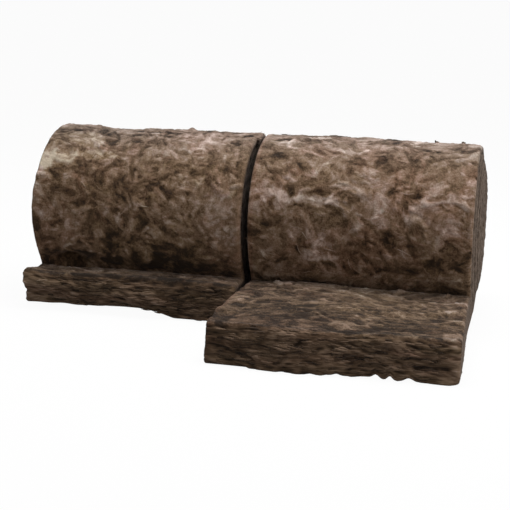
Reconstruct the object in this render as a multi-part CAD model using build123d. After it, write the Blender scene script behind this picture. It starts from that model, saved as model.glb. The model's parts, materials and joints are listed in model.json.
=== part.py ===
"""Glass-wool loft insulation roll, slit across its width into two half-width rolls that lie end to end.

Each half is one continuous blanket: wound tight into a spiral round an open eye, with the outer end
unrolled as a loose tail that has sprung back to its full loft and lies flat on the floor.

Millimetres. X runs along the winding axis, +Y from the loose tails back to the roll, +Z up.
The origin is on the floor, below the middle of the whole object's box.
"""

import os
from math import atan2, degrees, sqrt

from build123d import *

# Width of the roll, along X
HALF_WIDTH = 570.0  # each half fits between joists at 600 mm centres
SLIT_GAP = 14.0  # how far the halves have drifted apart at the slit

# Winding
HALF_TURN_COUNT = 11  # half turns between the eye and the outside
TURN_THICKNESS = 37.6  # the blanket is this thick while it is wound
EYE_RADIUS = 20.0  # open eye at the middle of the winding
SEAM_WIDTH = 3.0  # open line between two turns, where it shows on an end
SEAM_DEPTH = 9.0  # how far that line reaches in from the end

# Loose tails
LOFT = 100.0  # the blanket is this thick where it lies free
RIGHT_TAIL_REACH = 600.0  # winding axis to the front of the right tail
LEFT_TAIL_REACH = 264.0  # winding axis to the front of the left tail
NOSE_TOP_RADIUS = 16.0  # soft upper edge of a tail's front
NOSE_FOOT_RADIUS = 9.0  # soft lower edge of a tail's front
CREASE_DROP = 6.0  # the roll presses the tail's top down by this at the crease
CREASE_SHOULDER_RADIUS = 60.0  # bend of the tail's top down into the crease
CREASE_RADIUS = 3.0  # bottom of the crease

# Cut edges
RIM_BEVEL = 4.0  # soft edge all round each end
CUT_OVERRUN = 2.0  # cutting shapes reach this far past the face that they open

# The spiral is made of half turns about two centres, half a turn's thickness apart in height.
HALF_TURN_STEP = TURN_THICKNESS / 2
ROLL_RADIUS = EYE_RADIUS + HALF_TURN_COUNT * HALF_TURN_STEP
BACK_CENTRE_Z = ROLL_RADIUS
FRONT_CENTRE_Z = ROLL_RADIUS + HALF_TURN_STEP
FRONT_RADIUS = ROLL_RADIUS - HALF_TURN_STEP

# The crease, where the front of the roll meets the top of its own tail
CREASE_Z = LOFT - CREASE_DROP
CREASE_Y = -sqrt(FRONT_RADIUS**2 - (FRONT_CENTRE_Z - CREASE_Z) ** 2)
CREASE_ANGLE = degrees(atan2(CREASE_Z - FRONT_CENTRE_Z, CREASE_Y)) % 360

# Distance of the winding axis behind the origin, so that the box is centred
AXIS_Y = (max(RIGHT_TAIL_REACH, LEFT_TAIL_REACH) - ROLL_RADIUS) / 2


def half_turn_centre(half_turn):
    """Centre of one half turn, counted from the outside: odd ones are on the front, even ones on the back."""
    return (0, FRONT_CENTRE_Z if half_turn % 2 else BACK_CENTRE_Z)


def half_turn_arc(half_turn, side_step):
    """One half turn of the spiral's line, moved outwards by side_step.

    Odd half turns run down the front of the roll and even ones up its back. The first starts at the crease.
    """
    radius = ROLL_RADIUS - half_turn * HALF_TURN_STEP + side_step
    if half_turn % 2 == 0:
        return CenterArc(half_turn_centre(half_turn), radius, -90, 180)
    start = CREASE_ANGLE if half_turn == 1 else 90
    return CenterArc(half_turn_centre(half_turn), radius, start, 270 - start)


def blanket_section(tail_reach):
    """Outline of one half seen along the axis: the roll with its tail, winding axis at Y = 0."""
    shoulder_run = sqrt(2 * CREASE_SHOULDER_RADIUS * CREASE_DROP - CREASE_DROP**2)
    shoulder_y = CREASE_Y - shoulder_run
    shoulder_angle = degrees(atan2(CREASE_SHOULDER_RADIUS - CREASE_DROP, shoulder_run))
    shoulder_centre = (shoulder_y, LOFT - CREASE_SHOULDER_RADIUS)
    outline = [
        Line((-tail_reach, 0), (0, 0)),
        CenterArc((0, BACK_CENTRE_Z), ROLL_RADIUS, -90, 180),
        CenterArc((0, FRONT_CENTRE_Z), FRONT_RADIUS, 90, CREASE_ANGLE - 90),
        CenterArc(shoulder_centre, CREASE_SHOULDER_RADIUS, shoulder_angle, 90 - shoulder_angle),
        Line((shoulder_y, LOFT), (-tail_reach, LOFT)),
        Line((-tail_reach, LOFT), (-tail_reach, 0)),
    ]
    section = make_face(outline)
    for corner, radius in (
        ((-tail_reach, LOFT), NOSE_TOP_RADIUS),
        ((-tail_reach, 0), NOSE_FOOT_RADIUS),
        ((CREASE_Y, CREASE_Z), CREASE_RADIUS),
    ):
        nearest = section.vertices().sort_by_distance((*corner, 0))[0]
        section = fillet(nearest, radius)
    return section


def turn_seam():
    """Spiral line between the turns, from the crease in to the side of the eye, as a narrow flat face."""
    half_turns = range(1, HALF_TURN_COUNT)
    outer_side = [half_turn_arc(n, SEAM_WIDTH / 2) for n in half_turns]
    inner_side = [half_turn_arc(n, -SEAM_WIDTH / 2) for n in half_turns]
    start_cap = Line(outer_side[0] @ 0, inner_side[0] @ 0)
    end_cap = Line(outer_side[-1] @ 1, inner_side[-1] @ 1)
    return make_face([*outer_side, *inner_side, start_cap, end_cap])


def half_roll(low_x, tail_reach):
    """One half of the roll as a single solid, from low_x across one half width."""
    low_end = Plane(origin=(low_x, AXIS_Y, 0), x_dir=(0, 1, 0), z_dir=(1, 0, 0))
    high_end = low_end.offset(HALF_WIDTH)
    body = extrude(low_end * blanket_section(tail_reach), HALF_WIDTH)
    ends = body.faces().filter_by(Plane.YZ)
    body = chamfer([edge for end in ends for edge in end.outer_wire().edges()], RIM_BEVEL)

    eye_centre = Pos(*half_turn_centre(HALF_TURN_COUNT))
    eye = extrude(low_end * eye_centre * Circle(EYE_RADIUS), HALF_WIDTH)
    seam_cut = SEAM_DEPTH + CUT_OVERRUN
    low_seam = extrude(low_end.offset(-CUT_OVERRUN) * turn_seam(), seam_cut)
    high_seam = extrude(high_end.offset(-SEAM_DEPTH) * turn_seam(), seam_cut)
    return body - eye - low_seam - high_seam


def main():
    halves = {
        "left_half_roll": half_roll(-SLIT_GAP / 2 - HALF_WIDTH, LEFT_TAIL_REACH),
        "right_half_roll": half_roll(SLIT_GAP / 2, RIGHT_TAIL_REACH),
    }
    os.makedirs("parts", exist_ok=True)
    for node, solid in halves.items():
        export_step(solid, f"parts/{node}.step")


main()
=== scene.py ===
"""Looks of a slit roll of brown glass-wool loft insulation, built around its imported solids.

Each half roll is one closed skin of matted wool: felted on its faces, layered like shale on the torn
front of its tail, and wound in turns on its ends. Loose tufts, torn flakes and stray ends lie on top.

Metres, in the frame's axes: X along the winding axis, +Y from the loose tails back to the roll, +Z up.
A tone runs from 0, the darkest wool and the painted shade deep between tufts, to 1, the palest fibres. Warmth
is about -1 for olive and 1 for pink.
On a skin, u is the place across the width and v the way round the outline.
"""

import json
import math

import bpy
import bmesh
import numpy as np
from mathutils import Matrix, Vector
from mathutils.geometry import delaunay_2d_cdt

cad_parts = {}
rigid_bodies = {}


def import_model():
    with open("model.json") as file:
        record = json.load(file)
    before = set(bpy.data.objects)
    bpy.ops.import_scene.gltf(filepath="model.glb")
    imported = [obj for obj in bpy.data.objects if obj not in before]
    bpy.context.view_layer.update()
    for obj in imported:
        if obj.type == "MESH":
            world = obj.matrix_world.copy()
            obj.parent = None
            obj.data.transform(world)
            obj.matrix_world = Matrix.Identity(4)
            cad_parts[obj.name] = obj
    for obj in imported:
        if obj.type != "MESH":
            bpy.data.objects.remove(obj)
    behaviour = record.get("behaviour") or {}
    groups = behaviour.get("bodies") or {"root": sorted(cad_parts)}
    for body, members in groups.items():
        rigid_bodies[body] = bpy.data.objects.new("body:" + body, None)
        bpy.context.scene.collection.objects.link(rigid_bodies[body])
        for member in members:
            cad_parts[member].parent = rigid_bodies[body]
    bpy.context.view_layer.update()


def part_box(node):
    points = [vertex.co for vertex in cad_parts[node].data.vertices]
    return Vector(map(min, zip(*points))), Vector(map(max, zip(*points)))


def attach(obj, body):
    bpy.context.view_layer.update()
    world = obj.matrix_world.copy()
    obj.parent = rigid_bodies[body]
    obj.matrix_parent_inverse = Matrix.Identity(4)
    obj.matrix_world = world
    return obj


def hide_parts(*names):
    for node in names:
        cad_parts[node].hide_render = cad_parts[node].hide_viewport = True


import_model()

bl_info = {
    "name": "Insulation roll",
    "version": (1, 0, 0),
    "blender": (4, 5, 0),
    "location": "3D View > Sidebar > Insulation",
    "description": "Matted wool skins, wisps and stage for a slit roll of loft insulation",
    "category": "Object",
}

BODY = "root"

LEFT, RIGHT = range(2)
HALF_NODES = ("left_half_roll", "right_half_roll")
SKIN_SEEDS = (11, 47)
TUFT_SEEDS = (3, 8)

# Added to a half's seed, so that each noise on it differs
TORN_SEED, ROW_SEED, COLUMN_SEED, ROUGH_SEED, CLOUD_SEED, LAYER_SEED, EYE_SEED = 1, 31, 32, 33, 34, 35, 300

# Stretches of a half roll's outline, in the order in which it is walked
UNDER, BACK, FRONT, TAIL_TOP, TAIL_FRONT = range(5)

# Materials of a skin, in the order of its slots
FACE, END = range(2)


# Noise

# Numbers that scatter the bits of a cell's column, row and seed
HASH_COLUMN, HASH_ROW, HASH_SEED = 374761393, 668265263, 974634777
HASH_ROUNDS = ((13, 1274126177), (16, 2246822519))
HASH_LAST_SHIFT = 15
HASH_MASK = 0xFFFFFFFF

NOISE_GAIN = 1.5  # brings gradient noise to about -1 to 1
NOISE_OCTAVES = 3


def hashed(column, row, seed):
    """A fixed random number from 0 to 1 for each cell of a grid."""
    mixed = column.astype(np.int64) * HASH_COLUMN + row.astype(np.int64) * HASH_ROW + seed * HASH_SEED
    mixed &= HASH_MASK
    for shift, factor in HASH_ROUNDS:
        mixed = ((mixed ^ (mixed >> shift)) * factor) & HASH_MASK
    return (mixed ^ (mixed >> HASH_LAST_SHIFT)) / (HASH_MASK + 1)


def eased(low, high, value):
    """0 up to low, 1 from high on, and smooth between. Low may be the larger number."""
    share = np.clip((value - low) / (high - low), 0, 1)
    return share * share * (3 - 2 * share)


def hump(value, middle, spread):
    """1 at the middle, and a smooth fall to 0 on both sides."""
    return np.exp(-(((value - middle) / spread) ** 2))


def soft_noise(u, v, seed):
    """Gradient noise, about -1 to 1, with one hump to a unit."""
    column, row = np.floor(u), np.floor(v)
    du, dv = u - column, v - row
    fade_u, fade_v = [t**3 * (t * (t * 6 - 15) + 10) for t in (du, dv)]
    corners = []
    for up in (0, 1):
        for across in (0, 1):
            angle = 2 * math.pi * hashed(column + across, row + up, seed)
            corners.append(np.cos(angle) * (du - across) + np.sin(angle) * (dv - up))
    lower = corners[0] + fade_u * (corners[1] - corners[0])
    upper = corners[2] + fade_u * (corners[3] - corners[2])
    return NOISE_GAIN * (lower + fade_v * (upper - lower))


def layered_noise(u, v, seed):
    """Gradient noise with finer and weaker copies of itself on top."""
    return sum(soft_noise(u * 2**n, v * 2**n, seed + n) / 2**n for n in range(NOISE_OCTAVES))


def standard(grid):
    """A grid shifted and scaled to mean 0 and spread 1."""
    return (grid - grid.mean()) / grid.std()


class WoolField:
    """Wool laid over a flat patch of u and v: the lie of its fibres, and fields that are combed along it."""

    # How the locks of one kind vary
    LOCK_TURN = 0.45  # spread of a lock's turn off the fibres' lie, in radians
    LOCK_LENGTH_SHARES = (0.5, 1.5)
    LOCK_WIDTH_SHARES = (0.6, 1.3)
    LOCK_BEND = 0.5
    LOCK_BEND_MIDDLE = 0.4
    LOCK_SHADES = (-1.6, 1.9)
    LOCK_COVER_SHARES = (0.4, 1.0)
    LOCK_BLUNTNESS = (1.0, 2.2)

    # How a lock lies on what is below it
    EDGE_STEEPNESS = 4
    # A painted shadow along each lock's lower edge, and painted shade darkening it towards that edge
    SHADOW_EDGE_CELLS = 1.2  # width of the painted shadow along its lower edge
    SHADOW_EDGE_SHARE = 0.75
    SLOPE_SHADE_SHARE = 0.3  # painted shade: how much darker it gets towards its lower edge
    TONE_BELOW_SHARE = 0.65  # how much of the tone below shows in it
    RELIEF_BELOW_SHARE = 0.5
    DOME_RISE = 0.6
    SPARE_CELLS = 2

    HOLLOW_DEPTHS = (0.5, 2.4)  # where a hollow begins and is full, in spreads of the depth
    LAST_CELL = 1.001  # keeps the far side of the last cell inside the grid

    def __init__(self, low_u, high_u, length, step, seed):
        self.low_u, self.step = low_u, step
        rows = math.ceil(length / step) + 1
        columns = math.ceil((high_u - low_u) / step) + 1
        self.random = np.random.default_rng(seed)
        self.shape = (rows, columns)
        self.v, self.u = np.mgrid[0:rows, 0:columns] * step
        self.u = self.u + low_u
        self.lay(np.zeros(self.shape))

    def lay(self, angle):
        """Sets the way the fibres lie, as an angle from the u direction."""
        self.angle = angle
        self.lie_u, self.lie_v = np.cos(angle), np.sin(angle)

    def blurred(self, grid, wide, long):
        """A grid blurred by a width in u and a length in v."""
        rows, columns = self.shape
        turn_v = 2 * math.pi * np.fft.fftfreq(rows)[:, None] * long / self.step
        turn_u = 2 * math.pi * np.fft.rfftfreq(columns)[None, :] * wide / self.step
        spectrum = np.fft.rfft2(grid) * np.exp(-0.5 * (turn_u**2 + turn_v**2))
        return np.fft.irfft2(spectrum, s=self.shape)

    def cloud(self, wide, long):
        """Soft patches of a size, with mean 0 and spread 1."""
        return standard(self.blurred(self.random.standard_normal(self.shape), wide, long))

    def combed(self, grid, reach):
        """A grid drawn out along the lie of the fibres, with mean 0 and spread 1."""
        rows, columns = self.shape
        total = grid.copy()
        base_row, base_column = np.mgrid[0:rows, 0:columns].astype(float)
        for sign in (1, -1):
            row, column = base_row, base_column
            step_u, step_v = sign * self.lie_u, sign * self.lie_v
            for _ in range(round(reach / self.step)):
                row, column = row + step_v, column + step_u
                r = np.clip(np.rint(row), 0, rows - 1).astype(int)
                c = np.clip(np.rint(column), 0, columns - 1).astype(int)
                total += grid[r, c]
                ahead_u, ahead_v = self.lie_u[r, c], self.lie_v[r, c]
                way = np.where(ahead_u * step_u + ahead_v * step_v < 0, -1.0, 1.0)
                step_u, step_v = ahead_u * way, ahead_v * way
        return standard(total)

    def locks(self, count_share, length, width, contrast):
        """Draws the locks of one kind, with places and sizes in cells."""
        rows, columns = self.shape
        count = round(rows * columns * count_share)
        row = self.random.uniform(0, rows, count)
        column = self.random.uniform(0, columns, count)
        turn = self.random.normal(0, self.LOCK_TURN, count)
        half_long = 0.5 * length / self.step * self.random.uniform(*self.LOCK_LENGTH_SHARES, count)
        half_wide = half_long * width / length * self.random.uniform(*self.LOCK_WIDTH_SHARES, count)
        bend = self.random.normal(0, self.LOCK_BEND, count)
        shade = contrast * np.clip(self.random.normal(0, 1, count), *self.LOCK_SHADES)
        warmth = self.random.normal(0, 1, count)
        cover = self.random.uniform(*self.LOCK_COVER_SHARES, count)
        bluntness = self.random.uniform(*self.LOCK_BLUNTNESS, count)
        return zip(row, column, turn, half_long, half_wide, bend, shade, warmth, cover, bluntness)

    def lay_lock(self, lock, contrast, tone, relief, warmth, angles):
        """Lays one lock over the grids, with a painted shadow along its lower edge and painted shade towards
        it.
        """
        row, column, turn, half_long, half_wide, bend, shade, own_warmth, cover, bluntness = lock
        r, c = int(row), int(column)
        reach = int(half_long + half_wide) + self.SPARE_CELLS
        window = (slice(max(r - reach, 0), r + reach + 1), slice(max(c - reach, 0), c + reach + 1))
        angle = self.angle[r, c] + turn
        dv = np.arange(window[0].start, min(window[0].stop, self.shape[0]))[:, None] - row
        du = np.arange(window[1].start, min(window[1].stop, self.shape[1]))[None, :] - column
        along = (du * math.cos(angle) + dv * math.sin(angle)) / half_long
        across = (dv * math.cos(angle) - du * math.sin(angle)) / half_wide
        across = across + bend * (along**2 - self.LOCK_BEND_MIDDLE)

        def inside(sideways):
            distance = np.abs(sideways) ** bluntness + along**2
            return distance, np.clip((1 - distance) * self.EDGE_STEEPNESS, 0, 1)

        distance, filled = inside(across)
        weight = cover * filled
        # Painted shadow along the lock's lower edge
        shadow_edge = inside(across - self.SHADOW_EDGE_CELLS / half_wide)[1]
        tone[window] -= self.SHADOW_EDGE_SHARE * contrast * cover * shadow_edge
        # Painted shade darkens the lock towards its lower edge
        own_tone = self.TONE_BELOW_SHARE * tone[r, c] + shade - self.SLOPE_SHADE_SHARE * contrast * across
        tone[window] += weight * (own_tone - tone[window])
        dome = half_wide * (self.DOME_RISE - distance) + shade
        relief[window] += weight * (self.RELIEF_BELOW_SHARE * relief[r, c] + dome - relief[window])
        warmth[window] += weight * (own_warmth - warmth[window])
        angles[window] += weight * (angle - angles[window])

    def plates(self, kinds):
        """Flat locks of wool laid over each other, the broad kinds first, with the fibres turned along each.

        A kind is how many to a cell of the field, length, width and contrast. Gives tone, relief and warmth.
        """
        tone, relief, warmth = [np.zeros(self.shape) for _ in range(3)]
        angles = self.angle.copy()
        for kind in kinds:
            contrast = kind[-1]
            for lock in self.locks(*kind):
                self.lay_lock(lock, contrast, tone, relief, warmth, angles)
        self.lay(angles)
        return standard(tone), standard(relief), warmth

    def hollows(self, relief, size):
        """0 to 1 where the relief lies below what is round it."""
        below = self.blurred(relief, size, size) - relief
        return eased(*self.HOLLOW_DEPTHS, below / below.std())

    def at(self, grid, u, v):
        """Values of a grid at places."""
        rows, columns = self.shape
        row = np.clip(v / self.step, 0, rows - self.LAST_CELL)
        column = np.clip((u - self.low_u) / self.step, 0, columns - self.LAST_CELL)
        r, c = row.astype(int), column.astype(int)
        dr, dc = row - r, column - c
        low = grid[r, c] * (1 - dc) + grid[r, c + 1] * dc
        high = grid[r + 1, c] * (1 - dc) + grid[r + 1, c + 1] * dc
        return low * (1 - dr) + high * dr


# Outline of a half roll

class Outline:
    """One half roll seen along its axis: y from the winding axis, z from the floor, walked round once."""

    # Distance between points on each stretch
    STEPS = {UNDER: 0.018, BACK: 0.008, FRONT: 0.0031, TAIL_TOP: 0.004, TAIL_FRONT: 0.0018}
    STRAIGHT = 1.0  # bend of a straight stretch, as a radius
    SHARP_NOSES = 2  # a bend is sharp when its radius is under this many nose roundings

    TORN_RISE_SHARE = 0.7  # of the nose's height, over which the top turns into the torn front
    CREASE_CALM = 0.03  # the skin is flat in the crease, with all its relief this far from it
    # Painted shade: the tail's top darker, most towards its front, and the crease darker on both sides
    TAIL_SHADE_RUN = 0.06  # the painted shade of the tail's top is full this far in front of the crease
    NOSE_RUN = 0.02  # and strongest this near its front
    TAIL_SHADE, NOSE_SHADE = 0.115, 0.23
    CREASE_SHADE = 0.26
    ROLL_SHADE_RUN, TAIL_CREASE_RUN = 0.034, 0.012  # the crease's painted shade up the roll, and out on the tail
    UPWARD_POWER = 6  # dust and painted sheen grey the skin where it looks straight up
    TAIL_DUST_SHARE, TORN_DUST_SHARE = 0.45, 0.35

    ROLL_MARGIN_SHARE = 1.15  # a margin is this much wider where the turns are
    LEAST_RADIUS = 1e-6

    def __init__(self, radius, reach, shape, side):
        self.radius, self.reach = radius, reach
        self.loft, self.turn, self.bend = shape.loft, shape.outer_turn, shape.crease_bend
        self.nose, self.foot = shape.nose_round, shape.foot_round
        self.eye_z, self.eye_radius = shape.eye_height, shape.eye_radius
        self.front_radius = radius - self.turn / 2
        self.front_z = radius + self.turn / 2
        crease_drop = shape.crease_drop[side]
        self.crease_z = self.loft - crease_drop
        self.crease_y = -math.sqrt(self.front_radius**2 - (self.front_z - self.crease_z) ** 2)
        self.flat_y = self.crease_y - math.sqrt(2 * self.bend * crease_drop - crease_drop**2)
        self.walk()
        self.tears_dust_and_painted_shade()

    def walk(self):
        """Lays points along the outline, with their stretches, ways outward and room to be drawn in."""
        points, stretches, rounds = [], [], []

        def add(stretch, length, place, bend):
            count = max(2, round(length / self.STEPS[stretch]))
            points.extend(place(n / count) for n in range(count))
            stretches.extend([stretch] * count)
            rounds.extend([bend] * count)

        def line(stretch, start, end):
            def place(t):
                return [a + t * (b - a) for a, b in zip(start, end)]
            add(stretch, math.dist(start, end), place, self.STRAIGHT)

        def arc(stretch, centre, radius, start, end):
            def place(t):
                angle = math.radians(start + t * (end - start))
                return [centre[0] + radius * math.cos(angle), centre[1] + radius * math.sin(angle)]
            add(stretch, radius * math.radians(abs(end - start)), place, radius)

        front_y, top = -self.reach, self.loft
        crease_angle = 180 + math.degrees(math.asin((self.front_z - self.crease_z) / self.front_radius))
        bend_angle = math.degrees(math.asin((self.crease_z - top + self.bend) / self.bend))
        line(UNDER, (front_y + self.foot, 0), (0, 0))
        arc(BACK, (0, self.radius), self.radius, -90, 90)
        arc(FRONT, (0, self.front_z), self.front_radius, 90, crease_angle)
        arc(TAIL_TOP, (self.flat_y, top - self.bend), self.bend, bend_angle, 90)
        line(TAIL_TOP, (self.flat_y, top), (front_y + self.nose, top))
        arc(TAIL_FRONT, (front_y + self.nose, top - self.nose), self.nose, 90, 180)
        line(TAIL_FRONT, (front_y, top - self.nose), (front_y, self.foot))
        arc(TAIL_FRONT, (front_y + self.foot, self.foot), self.foot, 180, 270)

        self.points, self.stretches, rounds = np.array(points), np.array(stretches), np.array(rounds)
        sharp = rounds < self.SHARP_NOSES * self.nose
        apart = np.linalg.norm(self.points[:, None] - self.points[None, sharp], axis=2)
        self.rounds = (apart + rounds[sharp]).min(axis=1)
        behind = np.roll(self.points, 1, axis=0)
        along = np.roll(self.points, -1, axis=0) - behind
        along /= np.linalg.norm(along, axis=1)[:, None]
        self.normals = np.stack([along[:, 1], -along[:, 0]], axis=1)
        gaps = np.linalg.norm(self.points - behind, axis=1)
        gaps[0] = 0
        self.run = np.cumsum(gaps)

    def tears_dust_and_painted_shade(self):
        """Works out along the outline where the skin is torn and flat, where painted shade darkens it, and
        where dust and painted sheen grey it.
        """
        y, z = self.points.T
        on_roll, on_top, in_front = [self.stretches == stretch for stretch in (FRONT, TAIL_TOP, TAIL_FRONT)]
        from_crease = np.linalg.norm(self.points - np.array([self.crease_y, self.crease_z]), axis=1)
        self.torn = np.where(in_front, eased(0.0, self.TORN_RISE_SHARE, (self.loft - z) / self.nose), 0.0)
        self.quiet = np.where(self.stretches == UNDER, 0.0, eased(0.0, self.CREASE_CALM, from_crease))
        # Painted shade: the tail's top and nose darker, most towards the front, and the crease darker on both
        # sides
        shaded_y = self.crease_y - self.TAIL_SHADE_RUN
        on_tail = np.where(on_top, eased(self.crease_y, shaded_y, y), 0.0)
        on_tail = np.where(in_front, 1 - self.torn, on_tail)
        tail_shade = self.TAIL_SHADE + self.NOSE_SHADE * eased(shaded_y, self.NOSE_RUN - self.reach, y)
        shade_run = np.where(on_roll, self.ROLL_SHADE_RUN, self.TAIL_CREASE_RUN)
        self.shade = -on_tail * tail_shade - self.CREASE_SHADE * hump(from_crease, 0.0, shade_run)
        # Dust and painted sheen: greyer where the skin looks straight up, less on the tail's top, and on the
        # torn front
        upward = np.maximum(self.normals[:, 1], 0) ** self.UPWARD_POWER
        self.dust = np.where(on_top, self.TAIL_DUST_SHARE, 1.0) * upward + self.TORN_DUST_SHARE * self.torn

    def start(self, stretch):
        """Way round the outline at which a stretch starts."""
        return self.run[self.stretches == stretch][0]

    def at_angle(self, angle):
        """Way round the outline at an angle in degrees: 90 is the roll's top and 180 level in front of it.

        Larger angles run on past the crease and over the tail, with the same length to a degree.
        """
        return self.start(FRONT) + self.front_radius * math.radians(angle - 90)

    def tail_top(self, y):
        """Height of the tail's top surface at y."""
        bent = np.sqrt(np.maximum(self.bend**2 - np.maximum(y - self.flat_y, 0) ** 2, 0))
        return self.loft - self.bend + bent

    def depth(self, y, z):
        """How deep a point lies below the outer face of the winding, counted through all turns.

        The turns run evenly from the outer face in to the eye, and one is lost on the way round.
        """
        from_eye = np.maximum(np.hypot(y, z - self.eye_z), self.LEAST_RADIUS)
        rise = (z - self.eye_z) / from_eye
        radius = np.where(y >= 0, self.radius, self.front_radius)
        lift = self.eye_z - np.where(y >= 0, self.radius, self.front_z)
        face = np.sqrt(radius**2 - lift**2 * (1 - rise**2)) - lift * rise
        turned = 0.5 + np.arctan2(-y, z - self.eye_z) / (2 * math.pi)
        wound = self.eye_z - self.eye_radius - turned * self.turn
        return wound * (face - from_eye) / (face - self.eye_radius)

    def layer(self, y, z):
        """How deep in the blanket's own layers a point of an end lies."""
        depth = self.depth(y, z)
        return np.where(depth > 0, np.mod(depth, self.turn), self.loft - z)

    def inside(self, y, z, margin):
        """Whether a point lies inside the outline by a margin."""
        depth = self.depth(y, z)
        in_tail = (y > margin - self.reach) & (y <= 0) & (z > margin) & (z < self.tail_top(y) - margin)
        beside_roll = (y > self.crease_y) & (depth <= margin) & (z > self.crease_z - margin)
        return (depth > self.ROLL_MARGIN_SHARE * margin) | (in_tail & ~beside_roll)


# Sizes and colours that a user would change

def a_length(name, description, default):
    """A property for a length."""
    return bpy.props.FloatProperty(name=name, description=description, default=default, unit="LENGTH")


def half_lengths(name, description, *defaults):
    """A property for a length of each half."""
    return bpy.props.FloatVectorProperty(
        name=name, description=description + ", left then right", default=defaults, size=2, unit="LENGTH")


def an_angle(name, description, degrees):
    """A property for an angle."""
    return bpy.props.FloatProperty(
        name=name, description=description, default=math.radians(degrees), subtype="ANGLE")


def a_colour(name, description, *default):
    """A property for a colour."""
    return bpy.props.FloatVectorProperty(name=name, description=description, default=default, subtype="COLOR")


class WoolShape(bpy.types.PropertyGroup):
    """Sizes of the wool skins"""

    outer_turn: a_length("Outer turn", "Thickness of the blanket where it is wound", 0.0225)
    loft: a_length("Loft", "Thickness of the blanket where it lies free", 0.1005)
    eye_radius: a_length("Eye", "Radius of the open eye of the winding", 0.02)
    eye_height: a_length("Eye height", "Height of the eye's middle above the floor", 0.2456)
    crease_bend: a_length("Crease bend", "Bend of the tail's top into the crease", 0.055)
    nose_round: a_length("Nose", "Rounding of a tail's upper front edge", 0.022)
    foot_round: a_length("Foot", "Rounding of a tail's lower front edge", 0.009)
    column_step: a_length("Column step", "Distance between rows of points across the width", 0.0038)
    end_bulge: half_lengths("End bulge", "How far the winding stands out of each outer end", 0.001, 0.015)
    slit_draw: half_lengths("Slit draw", "How far each half is drawn in at the slit", 0.005, 0.0)
    crease_drop: half_lengths("Crease drop", "Depth of the crease below each tail's top", 0.002, 0.01)
    outer_rim: half_lengths("Outer rim", "Rounding of the outer ends' edges", 0.007, 0.008)
    slit_rim: half_lengths("Slit rim", "Rounding of the edges along the slit", 0.011, 0.006)
    outer_flare: half_lengths("Outer flare", "How far each tail's outer corner has spread", 0.007, 0.012)
    slit_flare: half_lengths("Slit flare", "How far each tail's corner by the slit has spread", 0.0, 0.006)
    corner_lift: half_lengths(
        "Corner lift", "How far each tail's outer top corner stands up and out", 0.009, 0.0)
    toe: half_lengths("Toe", "How far each tail's foot stands out in front", 0.0, 0.0145)
    lift: half_lengths("Lift", "How far each tail's torn foot stands off the floor", 0.024, 0.009)
    undercut: half_lengths("Undercut", "How far back each torn foot reaches", 0.09, 0.04)


class WoolColours(bpy.types.PropertyGroup):
    """Colours of the wool, from the deepest tone to the palest"""

    # The darkest colours also stand for the painted shade of hollows, creases and gaps
    crevice: a_colour("Crevice", "Wool deep between tufts", 0.024, 0.014, 0.008)
    umber: a_colour("Umber", "Dark wool", 0.091, 0.0525, 0.0275)
    brown: a_colour("Brown", "Ordinary wool", 0.203, 0.129, 0.080)
    taupe: a_colour("Taupe", "Pale wool", 0.333, 0.248, 0.196)
    cream: a_colour("Cream", "Palest fibres", 0.560, 0.465, 0.395)
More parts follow.
